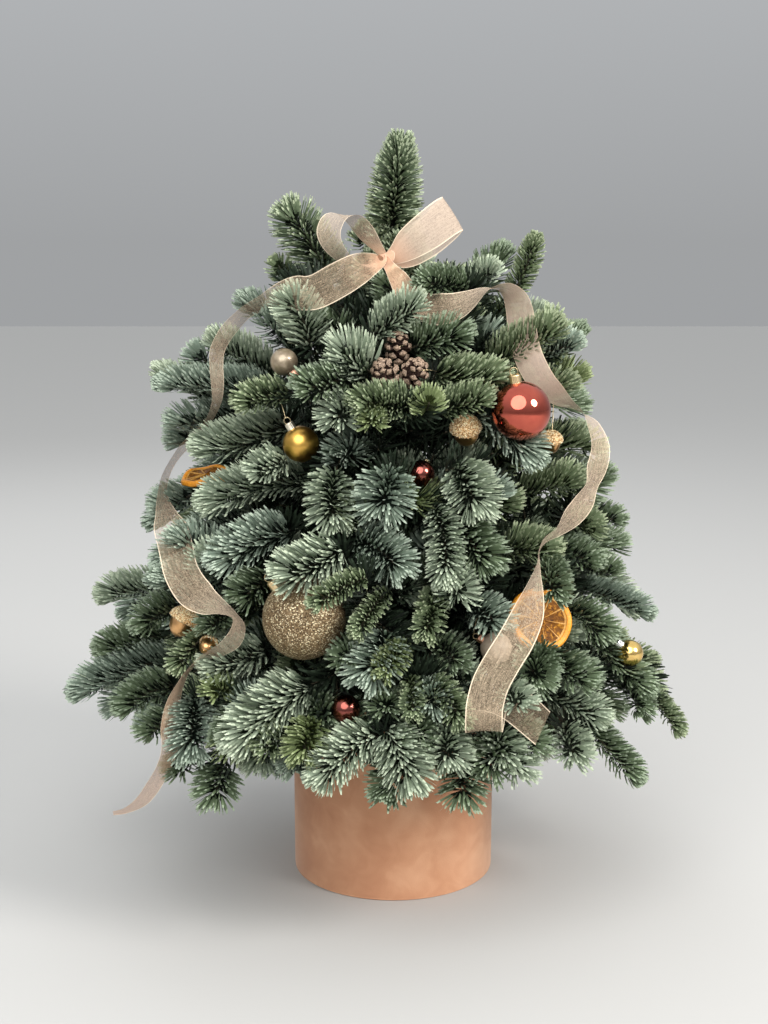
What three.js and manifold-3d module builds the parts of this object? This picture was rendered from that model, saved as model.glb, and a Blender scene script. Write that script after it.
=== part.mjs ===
// A small Christmas tree of fir boughs in a round velvet pot.
// Millimetres, +Z up. The origin is the centre of the pot's flat underside,
// +X is to the viewer's right and -Y faces the viewer.
// The pot is packed with florist's foam. A short trunk stands in the foam, tiers of boughs
// leave the trunk, and each bough carries one mass: a stem whose shoots bristle with needles.

import * as THREE from 'three';
import { mergeVertices } from 'three/addons/utils/BufferGeometryUtils.js';
import Module from 'manifold-3d';

const wasm = await Module();
wasm.setup();

// Clear space between two pieces that rest on each other.
const GAP = 0.3;

// Pot: a stiff tube with a floor, covered in velvet.
const POT_RADIUS = 80;
const POT_HEIGHT = 150;
const POT_WALL = 3;
const POT_FLOOR = 4;
const POT_ROUNDING = 1.2;
const POT_SIDES = 40;

// Foam that fills the pot to a little below its rim.
const FOAM_TOP = 138;

// Trunk: cut flat, pushed into the foam, and leaning a little as it rises.
const TRUNK_FOOT = new THREE.Vector3(0, 0, 34);
const TRUNK_BEND = new THREE.Vector3(6, 3, 241);
const TRUNK_TIP = new THREE.Vector3(-5, -3, 448);
const TRUNK_FOOT_RADIUS = 10.5;
const TRUNK_TIP_RADIUS = 3.6;
const TRUNK_SIDES = 10;
const TRUNK_STEPS = 6;

// Boughs, in tiers from the pot's rim to the top. Height is where they leave the trunk and
// first is the azimuth of the first one. A tier ends further out or higher up on one side than
// on the other: left and right are the reach and height of its tips there. Arch raises the
// middle of a bough, and lift the tips at the front and back: a negative one lowers them. Fill
// is the share of the reach that the side shoots fill, so that the boughs' own ends stand out.
const TIERS = [
  { name: 'skirt', boughs: 7, height: 172, first: 180,
    left: [262, 146], right: [238, 130], arch: 38, lift: 12, fill: 0.92 },
  { name: 'low', boughs: 5, height: 202, first: 182,
    left: [238, 218], right: [218, 204], arch: 24, lift: 0, fill: 0.92 },
  { name: 'middle', boughs: 5, height: 240, first: -6,
    left: [218, 264], right: [188, 282], arch: 10, lift: 0, fill: 0.92 },
  { name: 'waist', boughs: 4, height: 286, first: 196,
    left: [188, 322], right: [170, 350], arch: 2, lift: 0, fill: 0.92 },
  { name: 'upper', boughs: 4, height: 336, first: -8,
    left: [190, 394], right: [150, 428], arch: -6, lift: 0, fill: 0.88 },
  { name: 'shoulder', boughs: 3, height: 396, first: -24,
    left: [108, 520], right: [118, 505], arch: -14, lift: -34, fill: 0.6 },
];
const FRONT_SHARE = 0.9; // reach to the front and back against the mean of left and right
const STAGGER = 6; // neighbours in a tier leave the trunk this far below and above its height
const AZIMUTH_PLAY = 5;
const REACH_PLAY = 0.04;
const TIP_PLAY = 8;
const LIMB_SHARE = 0.25; // the share of a bough's line that is bare wood
const LIMB_TO_TRUNK = 0.4; // a bough's radius against the trunk's where it leaves
const LIMB_END_RADIUS = 2.4;
const LIMB_SIDES = 5;
const LIMB_STEPS = 2;

// Leader: the upright spray that the trunk ends in, and the height and reach at which the
// crown has narrowed to it. Its own side shoots are short and stand in a close whorl at its foot.
const LEADER_TOP = new THREE.Vector3(6, -2, 580);
const LEADER_BOW = new THREE.Vector3(-3, 0, 0);
const LEADER_NECK = [24, 532];
const LEADER_SPACING = 7;
const LEADER_WHORL = 44;
const LEADER_LONGEST = 50;

// How far outside the crown's outline a side shoot's needle may reach, and one of a stem's own
// end, how far under the skirt's tips the crown ends, and how clear of wood a needle stays.
const OUTLINE_PLAY = 10;
const END_PLAY = 60;
const SKIRT_DROOP = 30;
const WOOD_ROOM = 1;

// Shoots of a mass. They leave its stem by turns round it, the lowest ones the longest, and end
// some way before its tip. The stem's first part is bare.
const STEM_RADIUS = 1.9;
const STEM_TAPER = 0.9;
const STEM_SIDES = 3;
const BARE_STEM = 0.14;
const FIRST_SHOOT = 8;
const SHOOT_SPACING = 22;
const SPACING_PLAY = 0.2;
const SHOOTLESS_END = 35;
const SHOOT_BASE = 46;
const SHOOT_GROWTH = 0.5;
const SHOOT_PLAY = 0.1;
const LONGEST_SHOOT = 105;
const SHORTEST_SHOOT = 27;
const SHOOT_CUT = 6; // a shoot that lacks room is cut back by this, again and again
const SHOOT_TURN = 137.5;
const SHOOT_FLATNESS = 0.85;
const SHOOT_FAN = 56;
const FAN_PLAY = 0.15;
const SHOOT_SWEEP = 0.35;
const SHOOT_ROOM = 8;
const ROOM_PLACES = [0.45, 0.6, 0.75, 0.9, 1]; // shares of a shoot at which its room is looked at

// Needles stand in alternate corners of the rings of a shoot's slim core.
const NEEDLE_REACH = 21;
const NEEDLE_LEAN = 13;
const NEEDLE_ROOM = 0.8;
const NEEDLE_CUT = 0.15; // a needle that lacks room loses this share, again and again
const SHORTEST_NEEDLE = 0.3;
const UPPER_SHARE = 0.15; // needles on the upper side are longer by this share
const FOOT_FULLNESS = 0.62; // a brush's fullness at its foot and at its tip, and how it grows
const FOOT_SWELL = 1.6;
const TIP_FULLNESS = 0.45;
const TIP_SWELL = 2.2;
const RING_SPACING = 14.5;
const FIRST_RING = 0.4; // the first ring's place, as a share of the spacing
const FEWEST_RINGS = 3;
const CORE_RADIUS = 3.2;
const CORE_TAPER = 0.6;
const CORE_SIDES = 4;

const COLOURS = {
  velvet: { color: 0xc99878, roughness: 0.95 },
  foam: { color: 0x3c4a34, roughness: 1 },
  bark: { color: 0x6b5442, roughness: 0.9 },
  needles: { color: 0x5f7f6b, roughness: 0.6 },
};

const SEED = 41;
const radians = degrees => degrees * Math.PI / 180;

// Numbers from 0 to 1, the same ones each time for one seed.
function seededRandom(seed) {
  let state = (seed * 7919 + 12345) % 2147483647;
  const next = () => {
    state = state * 16807 % 2147483647;
    return state / 2147483647;
  };
  next();
  next();
  return next;
}

// Changes a value by up to the given share of it, up or down.
const vary = (random, share) => 1 + share * (2 * random() - 1);

function toSolid(geometry) {
  const bare = geometry.clone();
  bare.deleteAttribute('normal');
  bare.deleteAttribute('uv');
  const merged = mergeVertices(bare, 1e-4);
  return new wasm.Manifold(new wasm.Mesh({
    numProp: 3,
    vertProperties: new Float32Array(merged.attributes.position.array),
    triVerts: new Uint32Array(merged.index.array),
  }));
}

function toGeometry(solid) {
  const mesh = solid.getMesh();
  return new THREE.BufferGeometry()
    .setAttribute('position', new THREE.BufferAttribute(mesh.vertProperties, 3))
    .setIndex(new THREE.BufferAttribute(mesh.triVerts, 1));
}

function largestBody(solid) {
  return solid.decompose().reduce((a, b) => (a.volume() > b.volume() ? a : b));
}

// Two directions square to a line's direction, the second one as near to upward as it can be.
function acrossLine(direction, upward) {
  const side = new THREE.Vector3().crossVectors(direction, upward).normalize();
  return { side, up: new THREE.Vector3().crossVectors(side, direction).normalize() };
}

// The direction that a twig's upper side faces.
function upwardOf(line) {
  const run = line.getPoint(1).sub(line.getPoint(0)).normalize();
  return Math.abs(run.z) > 0.9 ? new THREE.Vector3(0, 1, 0) : new THREE.Vector3(0, 0, 1);
}

// A round tapering limb along part of a line: a cylinder whose rings are moved onto the line.
function limb(line, from, to, startRadius, endRadius, sides, steps) {
  const geometry = new THREE.CylinderGeometry(endRadius, startRadius, 1, sides, steps);
  const upward = upwardOf(line);
  const position = geometry.attributes.position;
  for (let i = 0; i < position.count; i++) {
    const t = from + (to - from) * (position.getY(i) + 0.5);
    const { side, up } = acrossLine(line.getTangent(THREE.MathUtils.clamp(t, 0, 1)), upward);
    const point = line.getPoint(t)
      .addScaledVector(side, position.getX(i))
      .addScaledVector(up, position.getZ(i));
    position.setXYZ(i, point.x, point.y, point.z);
  }
  return geometry;
}

const trunkLine = new THREE.QuadraticBezierCurve3(TRUNK_FOOT, TRUNK_BEND, TRUNK_TIP);
const trunkShare = z => (z - TRUNK_FOOT.z) / (TRUNK_TIP.z - TRUNK_FOOT.z);
const trunkRadius = z => THREE.MathUtils.lerp(
  TRUNK_FOOT_RADIUS, TRUNK_TIP_RADIUS, THREE.MathUtils.clamp(trunkShare(z), 0, 1));

// How far out and how high a tier's tips are at an azimuth.
function tipsAt(tier, azimuth) {
  const rightness = (1 + Math.cos(azimuth)) / 2;
  const roundness = THREE.MathUtils.lerp(1, FRONT_SHARE, Math.sin(azimuth) ** 2);
  return [
    THREE.MathUtils.lerp(tier.left[0], tier.right[0], rightness) * roundness,
    THREE.MathUtils.lerp(tier.left[1], tier.right[1], rightness) + tier.lift * Math.sin(azimuth) ** 2,
  ];
}

function boughOf(tier, tierIndex, i) {
  const random = seededRandom(SEED + 100 * tierIndex + i);
  const azimuth = radians(tier.first + 360 / tier.boughs * i + AZIMUTH_PLAY * (2 * random() - 1));
  const tips = tipsAt(tier, azimuth);
  const reach = tips[0] * vary(random, REACH_PLAY);
  const tipHeight = tips[1] + TIP_PLAY * (2 * random() - 1);
  const between = i % 2 === 0 && i === tier.boughs - 1;
  const height = tier.height + (between ? 0 : i % 2 ? STAGGER : -STAGGER);
  const root = trunkLine.getPoint(trunkShare(height));
  const tip = new THREE.Vector3(reach * Math.cos(azimuth), reach * Math.sin(azimuth), tipHeight);
  const bend = root.clone().lerp(tip, 0.5);
  bend.z += tier.arch;
  return {
    name: tier.name + '_' + (i + 1),
    line: new THREE.QuadraticBezierCurve3(root, bend, tip),
    limbShare: LIMB_SHARE,
    radius: LIMB_TO_TRUNK * trunkRadius(height),
    random,
  };
}

const boughs = TIERS.flatMap((tier, t) =>
  Array.from({ length: tier.boughs }, (_, i) => boughOf(tier, t, i)));

const leader = {
  name: 'leader',
  line: new THREE.QuadraticBezierCurve3(
    TRUNK_TIP.clone().setZ(TRUNK_TIP.z + GAP),
    TRUNK_TIP.clone().lerp(LEADER_TOP, 0.5).add(LEADER_BOW),
    LEADER_TOP),
  limbShare: 0,
  radius: TRUNK_TIP_RADIUS,
  random: seededRandom(SEED - 1),
};

const carriers = [...boughs, leader];
const LINE_POINTS = 10;
for (const carrier of carriers) carrier.points = carrier.line.getPoints(LINE_POINTS);

const nearest = new THREE.Vector3();
const stretch = new THREE.Line3();

function distanceTo(points, point, first = 0, last = points.length - 1) {
  let least = Infinity;
  for (let i = first; i < last; i++) {
    stretch.set(points[i], points[i + 1]).closestPointToPoint(point, true, nearest);
    least = Math.min(least, nearest.distanceTo(point));
  }
  return least;
}

// How far the crown reaches at a point's height and azimuth.
function crownReach(point) {
  const azimuth = Math.atan2(point.y, point.x);
  const filled = tier => {
    const [reach, height] = tipsAt(tier, azimuth);
    return [reach * tier.fill, height];
  };
  const rows = [...TIERS.map(filled), LEADER_NECK];
  const above = rows.findIndex(row => row[1] > point.z);
  if (above === 0) return rows[0][0];
  if (above < 0) return LEADER_NECK[0];
  const [low, high] = [rows[above - 1], rows[above]];
  return THREE.MathUtils.mapLinear(point.z, low[1], high[1], low[0], high[0]);
}

// How far a point of a mass is from the limits of the mass's own space: half way to the
// nearest other bough, the crown's outline and underside, every limb, the trunk and the pot.
function room(point, owner, outlinePlay = OUTLINE_PLAY) {
  const own = distanceTo(owner.points, point);
  let free = Infinity;
  for (const other of carriers) {
    const limbPoints = Math.ceil(other.limbShare * LINE_POINTS);
    if (other !== owner) free = Math.min(free, (distanceTo(other.points, point) - own) / 2);
    if (limbPoints) {
      free = Math.min(free, distanceTo(other.points, point, 0, limbPoints) - other.radius - WOOD_ROOM);
    }
  }
  if (point.z < TRUNK_TIP.z) {
    const axis = trunkLine.getPoint(trunkShare(point.z));
    const fromAxis = Math.hypot(point.x - axis.x, point.y - axis.y);
    free = Math.min(free, fromAxis - trunkRadius(point.z) - WOOD_ROOM);
  }
  const out = Math.hypot(point.x, point.y);
  free = Math.min(free, crownReach(point) + outlinePlay - out);
  free = Math.min(free, point.z - tipsAt(TIERS[0], Math.atan2(point.y, point.x))[1] + SKIRT_DROOP);
  return Math.min(free, Math.max(out - POT_RADIUS, point.z - POT_HEIGHT) - WOOD_ROOM);
}

// The stem's own end, then the side shoots.
function shootsOf(owner) {
  const { line, random } = owner;
  const length = line.getLength();
  const from = stemStart(owner);
  const stemLength = length * (1 - from);
  const end = partOf(line, from + FIRST_SHOOT / length, 1);
  const shoots = [{ line: end, owner, outlinePlay: END_PLAY }];
  const spacing = owner === leader ? LEADER_SPACING : SHOOT_SPACING;
  const last = owner === leader ? LEADER_WHORL : stemLength - SHOOTLESS_END;
  const longest = owner === leader ? LEADER_LONGEST : LONGEST_SHOOT;
  let turn = radians(360 * random());
  let along = FIRST_SHOOT;
  while (along < last) {
    const wanted = Math.min(longest, SHOOT_BASE + SHOOT_GROWTH * (stemLength - along));
    const fan = radians(SHOOT_FAN * vary(random, FAN_PLAY));
    const shoot = fitted(owner, from + along / length, turn, fan, wanted * vary(random, SHOOT_PLAY));
    if (shoot) shoots.push({ line: shoot, owner });
    turn += radians(SHOOT_TURN);
    along += spacing * vary(random, SPACING_PLAY);
  }
  return shoots;
}

const stemStart = owner => owner.limbShare + GAP / owner.line.getLength();

function partOf(line, from, to) {
  const start = line.getPoint(from);
  const end = line.getPoint(to);
  const middle = line.getPoint((from + to) / 2).multiplyScalar(2)
    .addScaledVector(start, -0.5).addScaledVector(end, -0.5);
  return new THREE.QuadraticBezierCurve3(start, middle, end);
}

// A side shoot, cut shorter until it has room, or nothing where it stays too short.
function fitted(owner, t, turn, fan, wanted) {
  const start = owner.line.getPoint(t);
  const forward = owner.line.getTangent(t);
  const { side, up } = acrossLine(forward, upwardOf(owner.line));
  const outward = side.multiplyScalar(Math.cos(turn))
    .addScaledVector(up, SHOOT_FLATNESS * Math.sin(turn)).normalize();
  const heading = forward.clone().multiplyScalar(Math.cos(fan))
    .addScaledVector(outward, Math.sin(fan));
  const swept = heading.clone().addScaledVector(forward, SHOOT_SWEEP).normalize();
  for (let length = wanted; length >= SHORTEST_SHOOT; length -= SHOOT_CUT) {
    const line = new THREE.QuadraticBezierCurve3(start,
      start.clone().addScaledVector(heading, length / 2),
      start.clone().addScaledVector(swept, length));
    const free = ROOM_PLACES.every(s => room(line.getPoint(s), owner) >= SHOOT_ROOM);
    if (free) return line;
  }
  return null;
}

// A slim core of rings along the shoot. Every second corner is drawn out to a needle,
// longer on the shoot's upper side, leaning forward, and shorter where room is short.
function brush({ line, owner, outlinePlay }) {
  const length = line.getLength();
  const rings = Math.max(FEWEST_RINGS, Math.round(length / RING_SPACING));
  const upward = upwardOf(line);
  const vertices = [];
  const isNeedle = (k, j) => k > 0 && (k + j) % 2 === 0;
  for (let k = 0; k <= rings; k++) {
    const t = (k + FIRST_RING) / (rings + 1);
    const forward = line.getTangent(t);
    const { side, up } = acrossLine(forward, upward);
    const core = CORE_RADIUS * (1 - CORE_TAPER * t);
    const fullness = Math.min(1, FOOT_FULLNESS + FOOT_SWELL * t, TIP_FULLNESS + TIP_SWELL * (1 - t));
    for (let j = 0; j < CORE_SIDES; j++) {
      const turn = 2 * Math.PI * (j + 0.5) / CORE_SIDES;
      const outward = up.clone().multiplyScalar(Math.cos(turn)).addScaledVector(side, Math.sin(turn));
      const centre = line.getPoint(t);
      const place = centre.clone().addScaledVector(outward, core);
      if (isNeedle(k, j)) {
        const reach = NEEDLE_REACH * fullness * (1 + UPPER_SHARE * Math.cos(turn));
        for (let share = 1; share > SHORTEST_NEEDLE; share -= NEEDLE_CUT) {
          const tip = centre.clone().addScaledVector(outward, reach * share)
            .addScaledVector(forward, NEEDLE_LEAN * share);
          if (room(tip, owner, outlinePlay) >= NEEDLE_ROOM) {
            place.copy(tip);
            break;
          }
        }
      }
      vertices.push(place);
    }
  }
  vertices.push(line.getPoint(0), line.getPoint(1));
  return new THREE.BufferGeometry()
    .setFromPoints(vertices)
    .setIndex(brushFaces(rings, isNeedle));
}

// Each four-cornered cell is split between its two needles, so that each needle stands alone.
function brushFaces(rings, isNeedle) {
  const faces = [];
  const corner = (k, j) => k * CORE_SIDES + (j % CORE_SIDES);
  const root = (rings + 1) * CORE_SIDES;
  for (let j = 0; j < CORE_SIDES; j++) {
    faces.push(root, corner(0, j + 1), corner(0, j));
    faces.push(root + 1, corner(rings, j), corner(rings, j + 1));
    for (let k = 0; k < rings; k++) {
      const [a, b, c, d] = [corner(k, j), corner(k, j + 1), corner(k + 1, j + 1), corner(k + 1, j)];
      if ((k + j) % 2 === 0) faces.push(a, b, d, b, c, d);
      else faces.push(a, b, c, a, c, d);
    }
  }
  return faces;
}

function massOf(owner) {
  const from = stemStart(owner);
  const to = from + BARE_STEM;
  const bare = limb(owner.line, from, to, STEM_RADIUS, STEM_RADIUS * STEM_TAPER, STEM_SIDES, 1);
  const solids = [toSolid(bare), ...shootsOf(owner).map(shoot => toSolid(brush(shoot)))];
  return toGeometry(largestBody(wasm.Manifold.union(solids)));
}

function potGeometry() {
  const inner = POT_RADIUS - POT_WALL;
  const profile = [
    [0, 0],
    [POT_RADIUS - POT_ROUNDING, 0],
    [POT_RADIUS, POT_ROUNDING],
    [POT_RADIUS, POT_HEIGHT - POT_ROUNDING],
    [POT_RADIUS - POT_WALL / 2, POT_HEIGHT],
    [inner, POT_HEIGHT - POT_ROUNDING],
    [inner, POT_FLOOR],
    [0, POT_FLOOR],
  ].map(([x, y]) => new THREE.Vector2(x, y));
  return new THREE.LatheGeometry(profile, POT_SIDES).rotateX(Math.PI / 2);
}

function foamGeometry() {
  const radius = POT_RADIUS - POT_WALL - GAP;
  const block = new THREE.CylinderGeometry(radius, radius, FOAM_TOP - POT_FLOOR - GAP, POT_SIDES)
    .rotateX(Math.PI / 2)
    .translate(0, 0, (FOAM_TOP + POT_FLOOR + GAP) / 2);
  return toGeometry(toSolid(block).subtract(toSolid(trunkGeometry(GAP))));
}

function trunkGeometry(grown) {
  const from = grown ? -grown / (TRUNK_TIP.z - TRUNK_FOOT.z) : 0;
  return limb(trunkLine, from, 1, TRUNK_FOOT_RADIUS + grown, TRUNK_TIP_RADIUS + grown,
    TRUNK_SIDES, TRUNK_STEPS);
}

// A bough starts inside the trunk's line and is cut to the trunk's round side.
function limbGeometry(bough) {
  const wood = limb(bough.line, 0, LIMB_SHARE, bough.radius, LIMB_END_RADIUS, LIMB_SIDES, LIMB_STEPS);
  return toGeometry(largestBody(toSolid(wood).subtract(toSolid(trunkGeometry(GAP)))));
}

function piece(name, geometry, finish) {
  const material = new THREE.MeshStandardMaterial({ ...COLOURS[finish], metalness: 0 });
  const mesh = new THREE.Mesh(geometry, material);
  mesh.name = name;
  return mesh;
}

const tree = new THREE.Group();
tree.add(piece('pot', potGeometry(), 'velvet'));
tree.add(piece('foam', foamGeometry(), 'foam'));
tree.add(piece('trunk', trunkGeometry(0), 'bark'));
for (const bough of boughs) {
  tree.add(piece('bough_' + bough.name, limbGeometry(bough), 'bark'));
}
for (const carrier of carriers) {
  tree.add(piece('needles_' + carrier.name, massOf(carrier), 'needles'));
}

export default tree;
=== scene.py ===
"""A small Christmas tree of noble fir in a round velvet pot, hung with balls, cones and ribbon.

Metres, +Z up. The origin is the centre of the pot's underside and -Y faces the viewer.
The tree's own rule of growth is worked out in millimetres and turned to metres in its meshes.
"""
import math

import bpy
import numpy as np
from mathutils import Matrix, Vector, noise


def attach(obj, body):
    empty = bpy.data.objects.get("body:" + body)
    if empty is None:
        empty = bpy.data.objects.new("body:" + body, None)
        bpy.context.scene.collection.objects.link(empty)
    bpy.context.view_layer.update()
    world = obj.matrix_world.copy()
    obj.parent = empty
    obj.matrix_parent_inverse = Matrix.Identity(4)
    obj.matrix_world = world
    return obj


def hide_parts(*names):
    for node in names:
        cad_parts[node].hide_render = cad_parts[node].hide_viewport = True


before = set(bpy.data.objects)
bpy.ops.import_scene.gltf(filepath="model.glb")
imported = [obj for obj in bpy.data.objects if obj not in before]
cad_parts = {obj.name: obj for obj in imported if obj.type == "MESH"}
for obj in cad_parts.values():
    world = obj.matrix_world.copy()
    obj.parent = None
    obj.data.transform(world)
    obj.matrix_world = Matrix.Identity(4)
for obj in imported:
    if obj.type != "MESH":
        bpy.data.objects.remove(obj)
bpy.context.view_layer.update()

# Camera
# The viewer stands a little over a metre in front of the tree and looks down on it by ten
# degrees, as somebody does who holds a phone at head height.
CAMERA_PLACE = np.array((-7.4, -1191.0, 499.5))
CAMERA_PITCH = math.radians(10)
PHOTO_WIDTH = 768
PHOTO_HEIGHT = 1024
FOCAL_PIXELS = 1537
SENSOR = 36.0
MM = 0.001

camera_data = bpy.data.cameras.new("viewer")
camera_data.sensor_width = SENSOR
camera_data.lens = SENSOR * FOCAL_PIXELS / PHOTO_HEIGHT
camera = bpy.data.objects.new("viewer", camera_data)
camera.location = CAMERA_PLACE * MM
camera.rotation_euler = (math.pi / 2 - CAMERA_PITCH, 0, 0)
bpy.context.collection.objects.link(camera)
bpy.context.scene.camera = camera


# Pot
# A stiff round box that is covered in peach velvet, turned over its rim and glued under its
# floor. The pile is brushed this way and that, and its uneven sheen is painted into the colour as lighter and
# darker clouds.
POT_RADIUS = 80.0
POT_HEIGHT = 150.0
POT_WALL = 3.0
POT_FLOOR = 4.0
POT_SIDES = 160
AT_AXIS = 0.01
ARC_STEPS = 3


class Shade:
    """A socket in a material's nodes: arithmetic on it adds Math nodes, node() adds any other."""

    def __init__(self, tree, socket=None):
        self.tree = tree
        self.socket = socket

    def node(self, kind, settings=None, values=None, output=0):
        made = self.tree.nodes.new("ShaderNode" + kind)
        for name, setting in (settings or {}).items():
            if name == "stops":
                self.set_stops(made.color_ramp, setting)
            else:
                setattr(made, name, setting)
        for name, value in (values or {}).items():
            if isinstance(value, Shade):
                self.tree.links.new(value.socket, made.inputs[name])
            else:
                made.inputs[name].default_value = value
        return Shade(self.tree, made.outputs[output])

    @staticmethod
    def set_stops(ramp, stops):
        while len(ramp.elements) < len(stops):
            ramp.elements.new(1)
        for element, (position, colour) in zip(ramp.elements, stops):
            element.position = position
            element.color = colour

    def maths(self, operation, first, second):
        return self.node("Math", {"operation": operation}, {0: first, 1: second})

    def __add__(self, other):
        return self.maths("ADD", self, other)

    def __sub__(self, other):
        return self.maths("SUBTRACT", self, other)

    def __rsub__(self, other):
        return self.maths("SUBTRACT", other, self)

    def __mul__(self, other):
        return self.maths("MULTIPLY", self, other)

    __radd__ = __add__
    __rmul__ = __mul__

    def coloured(self, *stops):
        """The colour that stops of a position and a colour give for this socket's value."""
        stops = [(position, (*colour, 1)) for position, colour in stops]
        return self.node("ValToRGB", {"stops": stops}, {"Fac": self})

    def mixed(self, first, second):
        """The first colour, with more of the second one where this socket's value is higher."""
        return self.node("Mix", {"data_type": "RGBA"}, {0: self, 6: first, 7: (*second, 1)}, output=2)

    def stretched(self, low, high, lowest=0.0, highest=1.0):
        """This socket's values from low to high, moved to those from lowest to highest."""
        limits = {"From Min": low, "From Max": high, "To Min": lowest, "To Max": highest}
        return self.node("MapRange", values={"Value": self, **limits})

    def raised(self, strength, distance):
        """A bump that is as high as this socket's value."""
        return self.node("Bump", values={"Height": self, "Strength": strength, "Distance": distance})


def new_material(name, **uniform):
    """A material whose uniform values sit on its shader, and the Shade that adds nodes to it."""
    material = bpy.data.materials.new(name)
    material.use_nodes = True
    shader = material.node_tree.nodes["Principled BSDF"]
    for words, value in uniform.items():
        shader.inputs[words.replace("_", " ")].default_value = value
    return material, Shade(material.node_tree)


def feed(material, **varying):
    """Links what changes over the surface to the shader's sockets."""
    shader = material.node_tree.nodes["Principled BSDF"]
    for words, shade in varying.items():
        material.node_tree.links.new(shade.socket, shader.inputs[words.replace("_", " ")])


def speckled(name, kind, texture, stops, roughness=None, bump=None, axes=None, **uniform):
    """A finish whose colour follows a fine pattern, as may its roughness (spread and least) and bump.

    With axes the pattern is a random colour for each grain: its first axis leads the finish's
    colour, and its second one the roughness and the bump.
    """
    finish, paint = new_material(name, **uniform)
    place = paint.node("TexCoord", output="Object")
    tint = tilt = paint.node(kind, values={"Vector": place, **texture}, output="Color" if axes else 0)
    if axes:
        tint, tilt = [paint.node("SeparateXYZ", values={"Vector": tint}, output=axis) for axis in axes]
    feed(finish, Base_Color=tint.coloured(*stops))
    if roughness:
        feed(finish, Roughness=tilt * roughness[0] + roughness[1])
    if bump:
        feed(finish, Normal=tilt.raised(*bump))
    return finish


def new_piece(name, slot, corners, faces, materials, face_materials=None, smooth=True):
    """A mesh piece from arrays: corners in millimetres and faces of one number of corners."""
    faces = np.asarray(faces, dtype=np.int32)
    count, sides = faces.shape
    mesh = bpy.data.meshes.new(name)
    mesh.vertices.add(len(corners))
    mesh.vertices.foreach_set("co", (np.asarray(corners) * MM).astype(np.float32).ravel())
    mesh.loops.add(count * sides)
    mesh.loops.foreach_set("vertex_index", faces.ravel())
    mesh.polygons.add(count)
    mesh.polygons.foreach_set("loop_start", np.arange(0, count * sides, sides, dtype=np.int32))
    mesh.polygons.foreach_set("use_smooth", np.full(count, smooth))
    for material in materials:
        mesh.materials.append(material)
    if face_materials is not None:
        mesh.polygons.foreach_set("material_index", np.asarray(face_materials, dtype=np.int32))
    mesh.update(calc_edges=True)
    piece = bpy.data.objects.new(name, mesh)
    bpy.context.collection.objects.link(piece)
    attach(piece, "root")
    return piece


def ring_faces(rows, sides):
    """Quads between rows of corners that each run once round."""
    ring = np.arange(sides)
    after = (ring + 1) % sides
    row = np.arange(rows - 1)[:, None] * sides
    return np.stack([row + ring, row + after, row + sides + after, row + sides + ring], axis=2).reshape(-1, 4)


def lathe(profile, sides):
    """Turns a profile of (radius, height) about the Z axis."""
    profile = np.asarray(profile, dtype=float)
    turn = np.linspace(0, 2 * math.pi, sides, endpoint=False)
    radius = profile[:, 0][:, None]
    height = np.broadcast_to(profile[:, 1][:, None], (len(profile), sides))
    rings = np.stack([radius * np.cos(turn), radius * np.sin(turn), height], axis=2)
    return rings.reshape(-1, 3), ring_faces(len(profile), sides)


def rounded(profile, bevel):
    """A profile whose inner corners are replaced by short arcs."""
    profile = [np.array(point, dtype=float) for point in profile]
    out = [profile[0]]
    for before, corner, after in zip(profile, profile[1:], profile[2:]):
        into = before - corner
        away = after - corner
        into *= min(bevel, np.linalg.norm(into) / 2) / np.linalg.norm(into)
        away *= min(bevel, np.linalg.norm(away) / 2) / np.linalg.norm(away)
        for share in np.linspace(0, 1, ARC_STEPS + 1):
            out.append(corner + into * (1 - share) ** 2 + away * share ** 2)
    out.append(profile[-1])
    return out


velvet, paint = new_material(
    "velvet", Roughness=0.92, Sheen_Weight=0.55, Sheen_Roughness=0.45, Sheen_Tint=(1.0, 0.82, 0.7, 1),
    Specular_IOR_Level=0.12,
)
place = paint.node("TexCoord", output="Object")
clouds = paint.node("TexNoise", values={"Vector": place, "Scale": 19, "Detail": 3, "Roughness": 0.55})
streaks = paint.node("TexNoise", values={"Vector": place, "Scale": 46, "Detail": 4, "Distortion": 1.2})
pile = paint.node("TexNoise", values={"Vector": place, "Scale": 1400, "Detail": 2})
nap = clouds * 0.68 + streaks * 0.32
# painted sheen: lighter and darker clouds of colour for the brushed pile's uneven sheen
pile_sheen_colour = nap.coloured(
    (0.36, (0.462, 0.220, 0.122)), (0.5, (0.524, 0.266, 0.151)), (0.66, (0.612, 0.340, 0.205)),
)
feed(velvet, Base_Color=pile_sheen_colour, Normal=(pile * 0.6 + nap).raised(0.35, 0.0006))

inner = POT_RADIUS - POT_WALL
pot_corners, pot_faces = lathe(rounded([
    (AT_AXIS, 0.4),
    (POT_RADIUS - 4, 0.0),
    (POT_RADIUS - 0.4, 0.0),
    (POT_RADIUS - 0.1, 2.4),
    (POT_RADIUS, POT_HEIGHT / 3),
    (POT_RADIUS, POT_HEIGHT - 3),
    (POT_RADIUS - POT_WALL / 2, POT_HEIGHT),
    (inner, POT_HEIGHT - 2),
    (inner, POT_FLOOR),
    (AT_AXIS, POT_FLOOR),
], bevel=1.4), POT_SIDES)
pot = new_piece("velvet_pot", "velvet", pot_corners, pot_faces, [velvet])
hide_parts("pot")


# Foam
# Dark green wet florist's foam, open-celled and crumbly, packed tight into the pot to a little
# below its rim. Its own solid has the right shape, so it only gets its finish.
foam_finish = speckled(
    "wet_foam", "TexVoronoi", {"Scale": 900}, ((0.1, (0.012, 0.022, 0.01)), (0.6, (0.05, 0.085, 0.035))),
    bump=(0.8, 0.001), Roughness=0.95,
)
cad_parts["foam"].material_slots[0].material = foam_finish


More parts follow.
